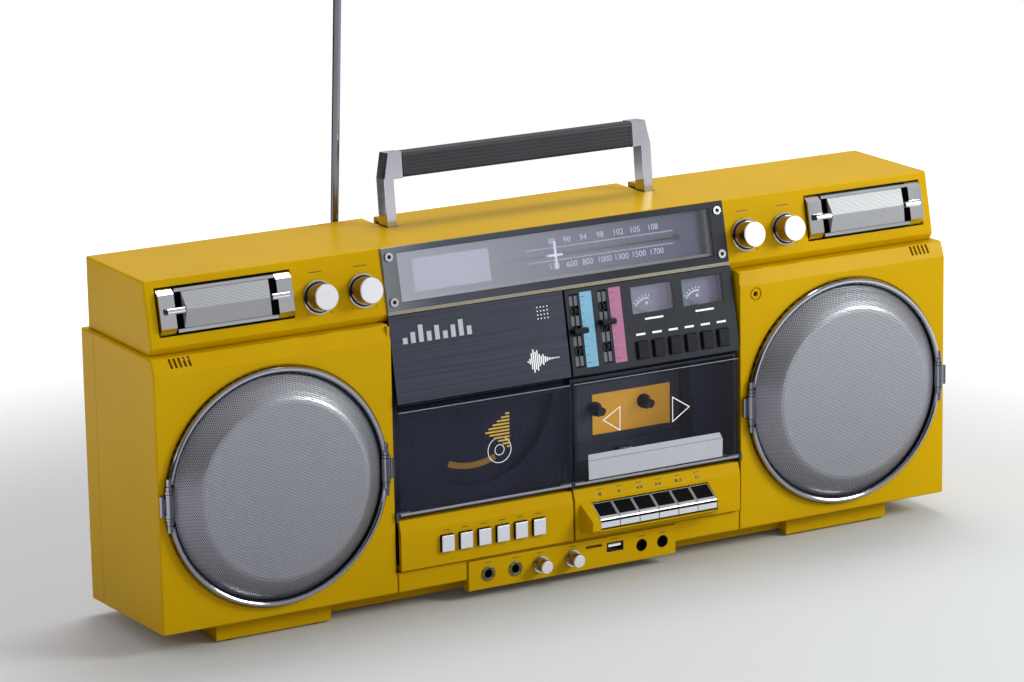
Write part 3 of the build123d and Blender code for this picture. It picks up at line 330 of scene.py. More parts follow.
def circuit_board():
    """Green lacquer, uneven over its tracks."""
    made = Material("circuit_board", srgb(20, 82, 44), 0.4)
    made.tint(made.noise(220, 5.0), srgb(14, 62, 32), srgb(30, 104, 56), 0.45, 0.55)
    made.bump(made.noise(600, 2.0), 0.0001, 0.4)
    return made.data


def liquid_crystal():
    """Pale display pane with a painted sheen, a slow change of tone from side to side, and a faint painted
    glow.
    """
    made = Material("liquid_crystal", srgb(206, 206, 212), 0.3)
    made.tint(made.noise(16, 1.0), srgb(196, 196, 204), srgb(214, 213, 216), 0.2, 0.8)
    made.set("Emission Color", srgb(190, 186, 190))
    made.set("Emission Strength", 0.2)
    return made.data


def meter_paper():
    """Meter face: greenish at the left, light mauve at the right, with a faint painted glow."""
    made = Material("meter_paper", srgb(130, 135, 148), 0.45)
    first_left, meter_pitch = 0.0565, 0.0442
    shifted = made.math("SUBTRACT", made.axes()["X"], first_left)
    share = made.math("MULTIPLY", made.math("FRACT", made.math("DIVIDE", shifted, meter_pitch)), 1.25)
    colour = made.ramp(share, [(0.0, srgb(112, 140, 134)), (0.4, srgb(132, 134, 146)),
                               (1.0, srgb(156, 146, 166))])
    made.link(colour, made.shader.inputs["Base Color"])
    made.link(colour, made.shader.inputs["Emission Color"])
    made.set("Emission Strength", 0.12)
    return made.data


def frame_with_painted_reflection():
    """Dark anodised frame, paler towards its left end as a painted reflection."""
    made = Material("frame_black", srgb(24, 26, 38), 0.34, 0.5)
    left_end, past_middle = -0.145, 0.05
    reflection_fade = made.remap(made.axes()["X"], left_end, past_middle)
    colour = made.ramp(reflection_fade, [(0.0, srgb(112, 114, 122)), (0.22, srgb(66, 68, 80)),
                                (1.0, srgb(22, 24, 38))])
    made.link(colour, made.shader.inputs["Base Color"])
    made.bump(made.noise(1.0, 3.0, (6, 1800, 1800)), 0.00002, 0.5)
    return made.data


def studio_floor():
    """Pale sweep whose glow grows further out: painted light, which leaves it darker round the object."""
    made = Material("studio_floor", (0.55, 0.555, 0.58, 1), 0.6, Specular_IOR_Level=0.2)
    made.vary_roughness(made.noise(3, 2.0), 0.5, 0.65)
    away = made.node("VectorMath", operation="LENGTH")
    made.link(made.position(), away.inputs[0])
    near, far = 0.40, 1.10
    painted_glow = made.remap(away.outputs["Value"], near, far, 0.02, 0.85, smooth=True)
    made.set("Emission Color", (1, 1, 1, 1))
    made.link(painted_glow, made.shader.inputs["Emission Strength"])
    return made.data


YELLOW = yellow_plastic()
BLACK = black_plastic("black_plastic", (20, 20, 28), 0.38, 0.2)
# Darker than the black plastic: the small jacks' own black, deepened as painted shade in their holes.
HOLE_BLACK = black_plastic("hole_black", (5, 5, 7), 0.7, 0.05)
PANEL_BLACK = black_plastic("panel_black", (22, 26, 38), 0.36, 0.35)
FRAME_BLACK = frame_with_painted_reflection()
DECK_BLACK = black_plastic("deck_black", (50, 52, 68), 0.5, 0.3, 0.0)
GRIP_BLACK = black_plastic("grip_black", (30, 31, 42), 0.5, 0.4)
RUBBER = rubber()
CHROME = chrome()
# The ring and rod chrome are darker copies of the plain chrome: painted shade that stands in for dark
# reflections.
RING_CHROME = chrome("ring_chrome", (158, 158, 168), 0.14)
ROD_CHROME = chrome("rod_chrome", (112, 112, 120), 0.14)
# A darker copy of the chrome: painted shade, on the latches' front faces and on the tape head.
SHADED_CHROME = chrome("shaded_chrome", (84, 84, 94), 0.2)
KNOB_SIDE = chrome("knob_side", (160, 140, 108), 0.2)
KEY_CHROME = chrome("key_chrome", (222, 222, 228), 0.3)
# The arm chrome is also a darker copy of the plain chrome: painted shade.
ARM_CHROME = chrome("arm_chrome", (200, 200, 208), 0.12)
JACK_NICKEL = chrome("jack_nickel", (132, 124, 100), 0.2)
SATIN_CHROME = chrome("satin_chrome", (222, 222, 228), 0.2)
CAP_SILVER = spun_metal("cap_silver", (240, 238, 248), 0.3)
BUTTON_SILVER = spun_metal("button_silver", (226, 226, 234), 0.34)
BRUSHED_TRIM = brushed("brushed_trim", (58, 60, 72), 0.36, 0.8)
SILVER_PLATE = print_ink("silver_plate", (180, 180, 192), 0.35, 0.0, 0.985)
PLATE_LINE = print_ink("plate_line", (138, 138, 150), 0.4)
SPEAKER_MESH = perforated("speaker_mesh", 0.00125, 0.0008)
TWEETER_MESH = perforated("tweeter_mesh", 0.00105, 0.00058, (172, 172, 178), (50, 50, 58), 0.55)
PIANO_BLACK = black_plastic("piano_black", (6, 6, 8), 0.2, 0.12, 0.05)
# On the dial window the veil falls from the left end to the right: a painted reflection.
CLEAR = clear_sheet("clear_acrylic", (238, 239, 247), ((200, 200, 216), 0.62, 0.02, 0.15), 0.8)
SMOKED = clear_sheet("smoked_acrylic", (218, 218, 228), ((110, 116, 156), 0.03, 0.03, 1.0), 0.3)
SMOKED_TAPE = clear_sheet("smoked_tape_door", (196, 196, 208), ((110, 116, 156), 0.02, 0.02, 1.0), 0.3,
                          ((0.004, 0.094), (0.088, 0.150)))
# A painted highlight for the doors' clear edges.
EDGE_HIGHLIGHT = print_ink("edge_highlight", (150, 150, 160), 0.2)
DOOR_FOOT = print_ink("door_foot", (122, 118, 122), 0.25)
SCALE_GREY = black_plastic("scale_grey", (64, 66, 88), 0.45)
DISPLAY = liquid_crystal()
# The white ink and the dial ink glow faintly: painted light.
WHITE_INK = print_ink("white_ink", (236, 236, 240), 0.5, 0.2)
DIAL_INK = print_ink("dial_ink", (226, 228, 240), 0.5, 0.3)
DARK_INK = print_ink("dark_ink", (74, 58, 14))
RED_INK = print_ink("red_ink", (170, 96, 118))
NEEDLE_PINK = print_ink("needle_pink", (196, 150, 168))
GOLD_INK = print_ink("gold_ink", (206, 168, 52), 0.35)
# This beige is also the painted highlight along the window's edges.
STRIP_BEIGE = print_ink("strip_beige", (150, 144, 126), 0.3)
BLUE_STRIP = print_ink("blue_strip", (118, 172, 206), 0.4)
PINK_STRIP = print_ink("pink_strip", (172, 104, 142), 0.4)
SLOT_GREY = black_plastic("slot_grey", (88, 88, 100), 0.5)
METER_FACE = meter_paper()
METER_WALL = print_ink("meter_wall", (146, 140, 160), 0.4)
# The white needle glows: painted light.
NEEDLE_WHITE = print_ink("needle_white", (250, 250, 252), 0.3, 0.5)
# The gold plate glows: painted light, so it reads bright through the smoked door.
TAPE_GOLD = print_ink("tape_gold", (200, 144, 24), 0.4, 0.36)
# The amber arc glows faintly: painted light.
ARC_GOLD = print_ink("arc_gold", (208, 152, 44), 0.4, 0.25)
CONE = paper_cone()
STEEL_BLACK = black_plastic("painted_steel", (24, 24, 26), 0.35)
BOARD = circuit_board()


def dress(node, *materials):
    """Gives a CAD node its materials; the first is on every face until another is chosen."""
    slots = NODES[node].data.materials
    slots.clear()
    for made in materials:
        slots.append(made)


def choose(node, index, test):
    """Faces whose centre (in millimetres) and normal pass the test take the material at that index."""
    for polygon in NODES[node].data.polygons:
        if test(polygon.center / MM, polygon.normal):
            polygon.material_index = index


def depth(surface, point):
    """How far a point (in millimetres) is in front of a surface."""
    return (point - surface.origin).dot(surface.out)


# Where one material ends and the next begins on a node, in millimetres.
SPEAKER_X = 241.9          # middle of a speaker from the casing's middle
# Behind this level the trim ring is black: painted shade for the gap between ring and mesh.
RING_SHADE_FRONT = 0.5           # the trim ring is dark behind this level
LATCH_FROM = 84            # the latches start this far beside a speaker's middle
LATCH_OUT = 3.0
SHOULDER = 222             # height where the upper housing starts
BASKET_DEPTH = 27          # the woofer's steel basket starts this far behind the face
TWEETER_X = 270.5
TWEETER_HALF = 30.5
# Behind this level the tweeter's tray is black: painted shade for the gaps round the frame.
TWEETER_SHADE_TRAY = -6.4        # the dark tray lies behind this level
TWEETER_BODY = 1.8         # and the dark body between the clamps ends here
SCREW_RECESS = 2.2
METER_WALLS = (-9.1, -3.3)
DOOR_FOOT_TOP = 78.6
TRANSFORMER_TOP = 76
BLOCKS_FRONT = 74          # the circuit board's blocks stand forward of this depth behind the face
JACK_RIM = 1.15
USB_X = (20, 50)
SMALL_JACKS_X = (50, 90)
SIX = range(1, 7)
for name in ("front_cabinet", "rear_cover", "top_housing", "base_tray", "lower_fascia", "jack_panel"):
    dress(name, YELLOW)
dress("foot_pads", RUBBER)
dress("speaker_rings", RING_CHROME, BLACK, SHADED_CHROME)
choose("speaker_rings", 1, lambda centre, normal: depth(FACE, centre) < RING_SHADE_FRONT)
# The latches' front faces take the darker chrome as painted shade.
choose("speaker_rings", 2, lambda centre, normal: normal.y < -0.9 and depth(FACE, centre) > LATCH_OUT
       and abs(abs(centre.x) - SPEAKER_X) > LATCH_FROM)
dress("speaker_grilles", SPEAKER_MESH, TWEETER_MESH)
choose("speaker_grilles", 1, lambda centre, normal: centre.z > SHOULDER)
dress("woofers", CONE, STEEL_BLACK)
choose("woofers", 1, lambda centre, normal: centre.y > FACE_Y + BASKET_DEPTH)
dress("tweeter_frames", CHROME, BLACK)
choose("tweeter_frames", 1, lambda centre, normal: depth(DIAL, centre) < TWEETER_SHADE_TRAY
       or (abs(abs(centre.x) - TWEETER_X) < TWEETER_HALF and depth(DIAL, centre) < TWEETER_BODY))
dress("case_screws", SATIN_CHROME, BLACK)
choose("case_screws", 1, lambda centre, normal: centre.y < 0 and depth(DIAL, centre) < SCREW_RECESS)
dress("dial_frame", FRAME_BLACK)
dress("clear_windows", CLEAR)
dress("dial_scale", SCALE_GREY)
dress("dial_needle", NEEDLE_WHITE)
dress("control_panel", PANEL_BLACK)
dress("level_meters", BLACK, METER_WALL)
choose("level_meters", 1, lambda centre, normal: METER_WALLS[0] < depth(MID, centre) < METER_WALLS[1]
       and abs(normal.z) < 0.9)
dress("left_meter_needle", NEEDLE_PINK)
dress("right_meter_needle", NEEDLE_PINK)
dress("deck_chassis", DECK_BLACK)
dress("cd_turntable", DECK_BLACK)
dress("left_reel_drive", BLACK)
dress("right_reel_drive", BLACK)
dress("cd_door", SMOKED, DOOR_FOOT)
dress("cassette_door", SMOKED_TAPE, DOOR_FOOT)
for name in ("cd_door", "cassette_door"):
    choose(name, 1, lambda centre, normal: centre.z < DOOR_FOOT_TOP)
dress("trim_panel", BRUSHED_TRIM)
dress("main_board", BOARD, STEEL_BLACK)
choose("main_board", 1, lambda centre, normal: centre.z < TRANSFORMER_TOP
       or centre.y < FACE_Y + BLOCKS_FRONT)
dress("sockets", JACK_NICKEL, BLACK, HOLE_BLACK)
choose("sockets", 1, lambda centre, normal: depth(FACE, centre) < JACK_RIM
       or USB_X[0] < centre.x < USB_X[1])
choose("sockets", 2, lambda centre, normal: SMALL_JACKS_X[0] < centre.x < SMALL_JACKS_X[1])
dress("handle_arms", ARM_CHROME)
dress("handle_grip", GRIP_BLACK)
dress("antenna_base", SATIN_CHROME)
dress("antenna_tube", ROD_CHROME)
dress("antenna_rod", ROD_CHROME)
for number in SIX:
    dress(f"mode_button_{number}", BLACK)
    dress(f"preset_button_{number}", BLACK, BUTTON_SILVER)
    choose(f"preset_button_{number}", 1, lambda centre, normal: normal.y < -0.5)
    dress(f"transport_key_{number}", KEY_CHROME)
for number in (1, 2):
    dress(f"fader_{number}", BLACK)


KNOB_GROOVE = 1.2          # the groove round a knob's skirt is below this level
KNOB_SKIRT = 2.2           # and its plain side starts here


def knob_cap(node, surface, height):
    """The flat top of a knob is spun silver, its side is chrome and its skirt's groove is dark."""
    dress(node, CHROME, CAP_SILVER, BLACK, KNOB_SIDE)
    choose(node, 3, lambda centre, normal: KNOB_SKIRT < depth(surface, centre)
           and abs(normal.dot(surface.out)) < 0.5)
    choose(node, 1, lambda centre, normal: depth(surface, centre) > height)
    choose(node, 2, lambda centre, normal: normal.dot(surface.out) > 0.9
           and depth(surface, centre) < KNOB_GROOVE)


LARGE_KNOB_CAP = 14.3
SMALL_KNOB_CAP = 11.5
for name in ("treble", "bass", "tuning", "volume"):
    knob_cap(f"{name}_knob", DIAL, LARGE_KNOB_CAP)
for name in ("mic_level", "echo_level"):
    knob_cap(f"{name}_knob", FACE, SMALL_KNOB_CAP)

# ---------------------------------------------------------------- shape helpers


FIGURE_SHARE = 0.7         # height of a figure in the built-in font, as a share of its size


class Shape:
    """Collects simple closed solids that become one piece."""

    def __init__(self):
        self.vertices = []
        self.faces = []

    def loops(self, rings, closed_ends=True):
        """Skins a list of equal rings of points, from the lowest to the highest."""
        start = len(self.vertices)
        count = len(rings[0])
        for ring in rings:
            self.vertices.extend(ring)
        for level in range(len(rings) - 1):
            for i in range(count):
                a = start + level * count + i
                b = start + level * count + (i + 1) % count
                self.faces.append((a, b, b + count, a + count))
        if closed_ends:
            self.faces.append(tuple(start + i for i in reversed(range(count))))
            last = start + (len(rings) - 1) * count
            self.faces.append(tuple(last + i for i in range(count)))

    def prism(self, surface, outline, low, high):
        """An (x, up) outline, anticlockwise, raised from low to high above the surface."""
        self.loops([[surface.at(x, up, out) for x, up in outline] for out in (low, high)])

    def box(self, surface, x, up, out):
        outline = [(x[0], up[0]), (x[1], up[0]), (x[1], up[1]), (x[0], up[1])]
        self.prism(surface, outline, *out)

    def disc(self, surface, centre, radius, low, high, count=32):
        self.prism(surface, circle(centre, radius, count), low, high)

    def ring(self, surface, centre, inner, outer, low, high, start=0.0, end=360.0, count=48):
        """A flat ring or arc between two radii; angles in degrees, anticlockwise from +x."""
        full = abs(end - start) >= 360
        steps = count if full else count + 1
        angles = [math.radians(start + (end - start) * i / count) for i in range(steps)]
        rings = []
        for angle in angles:
            ray = (math.cos(angle), math.sin(angle))
            rings.append([surface.at(centre[0] + radius * ray[0], centre[1] + radius * ray[1], out)
                          for radius, out in ((inner, low), (outer, low), (outer, high), (inner, high))])
        if full:
            rings.append(rings[0])
        self.loops(rings, closed_ends=not full)

    def text(self, surface, words, centre, height, low, high):
        """Raised figures, centred at a point on the surface."""
        curve = bpy.data.curves.new("figures", "FONT")
        curve.body = words
        curve.size = height / FIGURE_SHARE
        curve.align_x = "CENTER"
        curve.align_y = "CENTER"
        curve.extrude = (high - low) / 2
        curve.resolution_u = 3
        holder = bpy.data.objects.new("figures", curve)
        bpy.context.scene.collection.objects.link(holder)
        bpy.context.view_layer.update()
        mesh = bpy.data.meshes.new_from_object(holder)
        start = len(self.vertices)
        lift = (low + high) / 2
        for vertex in mesh.vertices:
            self.vertices.append(surface.at(centre[0] + vertex.co.x, centre[1] + vertex.co.y,
                                            lift + vertex.co.z))
        for polygon in mesh.polygons:
            self.faces.append(tuple(start + index for index in polygon.vertices))
        bpy.data.objects.remove(holder)
        bpy.data.meshes.remove(mesh)
        bpy.data.curves.remove(curve)

    def make(self, name, material, body, bevel=0.0):
        """Makes the piece, with small rounded edges where bevel (in millimetres) is given."""
        mesh = bpy.data.meshes.new(name)
        mesh.from_pydata([tuple(v) for v in self.vertices], [], self.faces)
        piece = bpy.data.objects.new(name, mesh)
        bpy.context.scene.collection.objects.link(piece)
        weld = piece.modifiers.new("weld", "WELD")
        weld.merge_threshold = 0.000002
        mesh.materials.append(material)
        if bevel:
            rounded = piece.modifiers.new("bevel", "BEVEL")
            rounded.width = bevel * MM
            rounded.segments = 2
            rounded.limit_method = "ANGLE"
        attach(piece, body)
        return piece


def circle(centre, radius, count=32):
    """The (x, up) points of a circle, anticlockwise."""
    return [(centre[0] + radius * math.cos(math.tau * i / count),
             centre[1] + radius * math.sin(math.tau * i / count)) for i in range(count)]


INK = 0.06                 # thickness of a printed mark, mm
LIFT = 0.02                # gap under it
INK_OUT = (LIFT, LIFT + INK)

# ---------------------------------------------------------------- dial
SCALE_OUT = -6.8           # face of the dial scale
UPPER_ROW = 34.6
LOWER_ROW = 16.2
FIGURE_HEIGHT = 4.4
UPPER_FIGURES = (("88", 0.5), ("90", 13.0), ("94", 27.0), ("98", 41.5), ("102", 57.0), ("105", 71.5),
                 ("108", 87.0))
LOWER_FIGURES = (("530", 0.0), ("600", 15.0), ("800", 28.5), ("1000", 43.0), ("1300", 57.5),
                 ("1500", 72.5), ("1700", 88.0))
LINE_X = (-22, 104)
TICKS = 64
TICK_PITCH = 1.95
PRINT = (SCALE_OUT + LIFT, SCALE_OUT + LIFT + INK)
figures = Shape()
for row_up, row in ((UPPER_ROW, UPPER_FIGURES), (LOWER_ROW, LOWER_FIGURES)):
    for word, x in row:
        figures.text(DIAL, word, (x, row_up), FIGURE_HEIGHT, *PRINT)
for row_up, side in ((UPPER_ROW - FIGURE_HEIGHT, 1), (LOWER_ROW + FIGURE_HEIGHT, -1)):
    figures.box(DIAL, LINE_X, (row_up - 0.18, row_up + 0.18), PRINT)
    for i in range(TICKS):
        tick = 1.6 if i % 5 == 0 else 0.9
        x = LINE_X[0] + 1 + i * TICK_PITCH
        figures.box(DIAL, (x - 0.14, x + 0.14), sorted((row_up, row_up - side * tick)), PRINT)
figures.make("dial_figures", DIAL_INK, "casing")

# Light strips along the window's bottom and right edges, painted highlights where the clear window's edges
# catch the light, and a light strip under the frame.
WINDOW_HALF = 131.9
ON_SCALE = -6.75           # just in front of the dial scale
FRAME_HALF = 144.6
window_highlights = Shape()
window_highlights.box(DIAL, (-WINDOW_HALF, WINDOW_HALF), (7.2, 9.4), (ON_SCALE, -1.4))
window_highlights.box(DIAL, (WINDOW_HALF - 2.7, WINDOW_HALF), (8.6, 42.5), (ON_SCALE, -2.0))
window_highlights.make("window_edge_highlights", STRIP_BEIGE, "casing", bevel=0.2)
foot_strip = Shape()
foot_strip.box(DIAL, (-FRAME_HALF, FRAME_HALF), (-1.2, 0.15), (-1.4, 1.2))
foot_strip.box(DIAL, (-FRAME_HALF, FRAME_HALF), (0.2, 1.3), (1.42, 1.7))
foot_strip.make("dial_foot_strip", STRIP_BEIGE, "casing", bevel=0.15)

DISPLAY_X = (-116.9, -53.6)
DISPLAY_UP = (12.7, 36.9)
pane = Shape()
pane.box(DIAL, DISPLAY_X, DISPLAY_UP, (-6.35, -6.0))
pane.make("display_pane", DISPLAY, "casing", bevel=0.2)

stop_block = Shape()
stop_block.box(DIAL, (104.5, 108.5), (22.4, 26.8), (ON_SCALE, -5.4))
stop_block.make("needle_stop", BLACK, "casing", bevel=0.4)

# ---------------------------------------------------------------- level meters
METER_X = (56.7, 100.9)
METER_W = 35.6
METER_LOW = 38.4
METER_HIGH = 59.0
METER_BACK = -9.0
METER_PAPER = -8.7
METER_PRINT = (METER_PAPER, -8.6)
METER_TICKS = 9
METER_START = 140          # angle of the first tick, degrees
METER_STEP = 12
TICK_RADII = (13.2, 14.6)
RED_FROM = 5               # ticks after this one are red
meter_faces = Shape()
meter_arcs = Shape()
meter_reds = Shape()
for left in METER_X:
    pivot = (left + METER_W / 2, METER_LOW - 1.6)
    meter_faces.box(MID, (left + 0.1, left + METER_W - 0.1), (METER_LOW - 4.4, METER_HIGH - 0.7),
                    (METER_BACK, METER_PAPER))
    meter_arcs.ring(MID, pivot, 11.0, 12.4, *METER_PRINT, 78, 146, 32)
    meter_reds.ring(MID, pivot, 11.2, 11.8, *METER_PRINT, 42, 78, 20)
    meter_reds.ring(MID, pivot, 15.6, 15.9, *METER_PRINT, 50, 128, 32)
    for i in range(METER_TICKS):
        angle = math.radians(METER_START - i * METER_STEP)
        ray = Vector((math.cos(angle), math.sin(angle)))
        side = Vector((-ray.y, ray.x)) * 0.5
        near, far = (Vector(pivot) + ray * radius for radius in TICK_RADII)
        target = meter_reds if i > RED_FROM else meter_arcs
        corners = [tuple(far - side), tuple(far + side), tuple(near + side), tuple(near - side)]
        target.prism(MID, corners, *METER_PRINT)
    meter_arcs.disc(MID, (pivot[0], METER_LOW + 6.4), 1.3, *METER_PRINT, 16)
meter_faces.make("meter_faces", METER_FACE, "casing")
meter_arcs.make("meter_arcs", WHITE_INK, "casing")
meter_reds.make("meter_reds", RED_INK, "casing")

# ---------------------------------------------------------------- control panel: faders and marks
FADER_X = (10.3, 34.6)
FADER_LOW = 5.8
STRIP_X = (12.9, 37.6)
STRIP_W = 10.2
STRIP_UP = (5.0, 60.8)
STRIP_OUT = 0.3
for left, material, name in zip(STRIP_X, (BLUE_STRIP, PINK_STRIP), ("blue_strip", "pink_strip")):
    strip = Shape()
    strip.box(MID, (left, left + STRIP_W), STRIP_UP, (LIFT, STRIP_OUT))
    strip.make(name, material, "casing", bevel=0.1)
strip_marks = Shape()
for left in STRIP_X:
    for i in range(9):
        up = STRIP_UP[0] + 3.5 + i * 6.1
        mark = 3.2 if i in (0, 4, 8) else 1.6
        strip_marks.box(MID, (left + 1.0, left + 1.0 + mark), (up - 0.22, up + 0.22),
                        (STRIP_OUT, STRIP_OUT + INK))
strip_marks.make("strip_marks", DARK_INK, "casing")

segments = Shape()
rollers = Shape()
SEGMENTS = 4
SEGMENT_PITCH = 14.9
SLOT_FLOOR = -2.2
for x in FADER_X:
    for i in range(SEGMENTS):
        up = FADER_LOW + 0.9 + i * SEGMENT_PITCH
        for part in ((x - 6.3, x - 3.3), (x - 2.3, x + 0.7)):
            segments.box(MID, part, (up, up + 7.4), (SLOT_FLOOR, -0.2))
            if i < SEGMENTS - 1:
                rollers.box(MID, part, (up + 9.2, up + 13.2), (SLOT_FLOOR, -0.6))
segments.make("slot_segments", SLOT_GREY, "casing", bevel=0.3)
rollers.make("slot_rollers", BLACK, "casing", bevel=0.6)

MODE_X0 = 61.5
MODE_PITCH = 14.1
mode_marks = Shape()
for i in range(6):
    x = MODE_X0 + i * MODE_PITCH
    mode_marks.box(MID, (x - 4.0, x + 4.0), (22.4, 23.9), INK_OUT)
for left in METER_X:
    middle = left + METER_W / 2
    mode_marks.box(MID, (middle - 8.0, middle + 8.0), (33.2, 34.6), INK_OUT)
mode_marks.make("control_marks", WHITE_INK, "casing")

# ---------------------------------------------------------------- disc door prints
DOT_AT = (-23.4, 46.0)
DOT_PITCH = 2.8
dots = Shape()
for column in range(4):
    for row in range(4):
        dots.disc(MID, (DOT_AT[0] + column * DOT_PITCH, DOT_AT[1] + row * DOT_PITCH), 0.5, *INK_OUT, 12)
dots.make("push_dots", WHITE_INK, "disc_door")

BADGE_AT = (-136.0, 42.5)
BADGE_HEIGHTS = (4.5, 8.0, 12.5, 7.0, 10.5, 5.5, 9.0, 12.0, 6.5)
badge = Shape()
for i, height in enumerate(BADGE_HEIGHTS):
    x = BADGE_AT[0] + i * 6.6
    badge.box(MID, (x, x + 4.0), (BADGE_AT[1], BADGE_AT[1] + height), (0.05, 0.6))
badge.make("trim_badge", SILVER_PLATE, "disc_door", bevel=0.25)

WAVE_AT = (-36.0, 16.0)
WAVE_HEIGHTS = (1.0, 4.0, 12.0, 17.0, 13.0, 15.0, 9.0, 6.0, 8.0, 4.5, 3.0, 2.0, 1.2, 1.2, 0.8, 0.8, 0.8)
wave = Shape()
for i, height in enumerate(WAVE_HEIGHTS):
    x = WAVE_AT[0] + i * 1.6
    wave.box(MID, (x, x + 0.95), (WAVE_AT[1] - height / 2, WAVE_AT[1] + height / 2), INK_OUT)
wave.make("level_bars", WHITE_INK, "disc_door")

DOOR_OUT = 2.5
DOOR_PRINT = (DOOR_OUT + LIFT, DOOR_OUT + LIFT + INK)
disc_mark = Shape()
for inner, outer in ((9.4, 9.9), (3.6, 4.1)):
    disc_mark.ring(FACE, (-62.0, 112.0), inner, outer, *DOOR_PRINT)
disc_mark.make("disc_mark", WHITE_INK, "disc_door")

# A triangle of bars that points to the left.
HATCH_RIGHT = -53.4
HATCH_LOW = 113.0
HATCH_MIDDLE = 126.5
hatch = Shape()
for i in range(11):
    up = HATCH_LOW + i * 2.5
    reach = 1 - abs(up + 0.7 - HATCH_MIDDLE) / 14.5
    hatch.box(FACE, (HATCH_RIGHT - 20.6 * reach, HATCH_RIGHT), (up, up + 1.3), DOOR_PRINT)
hatch.make("door_hatch", GOLD_INK, "disc_door")

ribs = Shape()
for x0 in (-142.0, -26.0):
    for i in range(9):
        x = x0 + i * 2.6
        ribs.box(FACE, (x, x + 1.2), (DOOR_FOOT_TOP, 92.0), (-1.5, -0.55))
ribs.make("door_ribs", DECK_BLACK, "disc_door", bevel=0.2)

# Painted highlights: light lines along the tops and feet of both doors, where their clear edges catch the
# light.
for name, body, limits in (("disc_door_edge_highlights", "disc_door", (-144.6, -1.7)),
                           ("tape_door_edge_highlights", "tape_door", (1.7, 144.6))):
    edges = Shape()
    edges.box(FACE, limits, (151.3, 151.8), DOOR_PRINT)
    edges.box(FACE, limits, (74.7, 76.2), DOOR_PRINT)
    edges.make(name, EDGE_HIGHLIGHT, body)

# The amber arc at the back of the disc well, about the turntable.
TURNTABLE_AT = (-73.0, 149.0)
well_arc = Shape()
well_arc.ring(FACE, TURNTABLE_AT, 50.0, 54.5, -19.9, -19.5, 248, 292)
well_arc.make("well_arc", ARC_GOLD, "casing")

# ---------------------------------------------------------------- cassette door prints and tape bay


def outline_triangle(shape, corners, width):
    """A triangular outline from three corners, anticlockwise."""
    centre = sum((Vector(c) for c in corners), Vector((0, 0))) / 3
    inner = [tuple(centre + (Vector(c) - centre) * (1 - width)) for c in corners]
    for i in range(3):
        j = (i + 1) % 3
        shape.prism(FACE, [corners[i], corners[j], inner[j], inner[i]], *DOOR_PRINT)


arrows = Shape()
outline_triangle(arrows, [(25.7, 121.1), (40.9, 110.9), (41.1, 130.0)], 0.12)
outline_triangle(arrows, [(86.2, 110.5), (101.7, 120.5), (86.2, 130.5)], 0.12)
arrows.make("tape_arrows", WHITE_INK, "tape_door")

PLATE_OUTLINE = [(13.2, 77.2), (130.0, 77.4), (130.4, 91.2), (127.5, 96.6), (12.8, 96.6)]
PLATE_OUT = DOOR_OUT + 0.5
plate = Shape()
plate.prism(FACE, PLATE_OUTLINE, DOOR_OUT + LIFT, PLATE_OUT)
plate.make("tape_plate", SILVER_PLATE, "tape_door", bevel=0.2)
plate_line = Shape()
plate_line.box(FACE, (13.2, 130.0), (91.6, 92.2), (PLATE_OUT + LIFT, PLATE_OUT + LIFT + INK))
plate_line.make("tape_plate_line", PLATE_LINE, "tape_door")

TAPE_WELL_BACK = -24.9
# The plate's gold glows as painted light.
gold = Shape()
gold.box(FACE, (32.8, 100.6), (102.4, 133.5), (TAPE_WELL_BACK, -24.2))
gold.make("tape_well_plate", TAPE_GOLD, "casing", bevel=0.2)

# The tape head takes the darker chrome as painted shade, so it shows no highlight.
heads = Shape()
heads.box(FACE, (44.0, 68.0), (80.0, 88.0), (TAPE_WELL_BACK + 0.1, -15.0))
heads.box(FACE, (50.0, 62.0), (86.0, 92.0), (-22.0, -14.6))
heads.make("tape_head", SHADED_CHROME, "casing", bevel=0.6)

# ---------------------------------------------------------------- transport keys and their symbols
KEY_X0 = 14.9
KEY_PITCH = 16.95
KEY_W = 16.3
KEY_TOP_BACK = (-3.6, 58.8)
KEY_TOP_FRONT = (-16.6, 50.0)
KEY_LIP_OUT = 17.0
key_slope = Vector((0, KEY_TOP_BACK[0] - KEY_TOP_FRONT[0], KEY_TOP_BACK[1] - KEY_TOP_FRONT[1])).normalized()
KEY_TOP = Surface((0, FACE_Y + KEY_TOP_BACK[0], KEY_TOP_BACK[1]), key_slope, (0, -key_slope.z, key_slope.y))
for i in range(6):
    x = KEY_X0 + KEY_PITCH * i
    insert = Shape()
    insert.box(KEY_TOP, (x + 0.75, x + KEY_W - 0.75), (-12.9, -0.7), (-0.45, -0.05))
    insert.box(FACE, (x + 0.05, x + KEY_W - 0.05), (47.4, 49.0),
               (KEY_LIP_OUT + LIFT, KEY_LIP_OUT + LIFT + INK))
    insert.make(f"key_insert_{i + 1}", PIANO_BLACK, f"transport_key_{i + 1}")

symbols = Shape()
SYMBOL_UP = 3.1
BAR_UP = (SYMBOL_UP - 1.2, SYMBOL_UP + 1.2)


def triangle(shape, x, size, towards):
    """A filled triangle that points to the right, or to the left where towards is -1."""
    points = [(x - towards * size / 2, SYMBOL_UP - size / 2), (x + towards * size / 2, SYMBOL_UP),
              (x - towards * size / 2, SYMBOL_UP + size / 2)]
    shape.prism(LEDGE, points if towards > 0 else points[::-1], *INK_OUT)


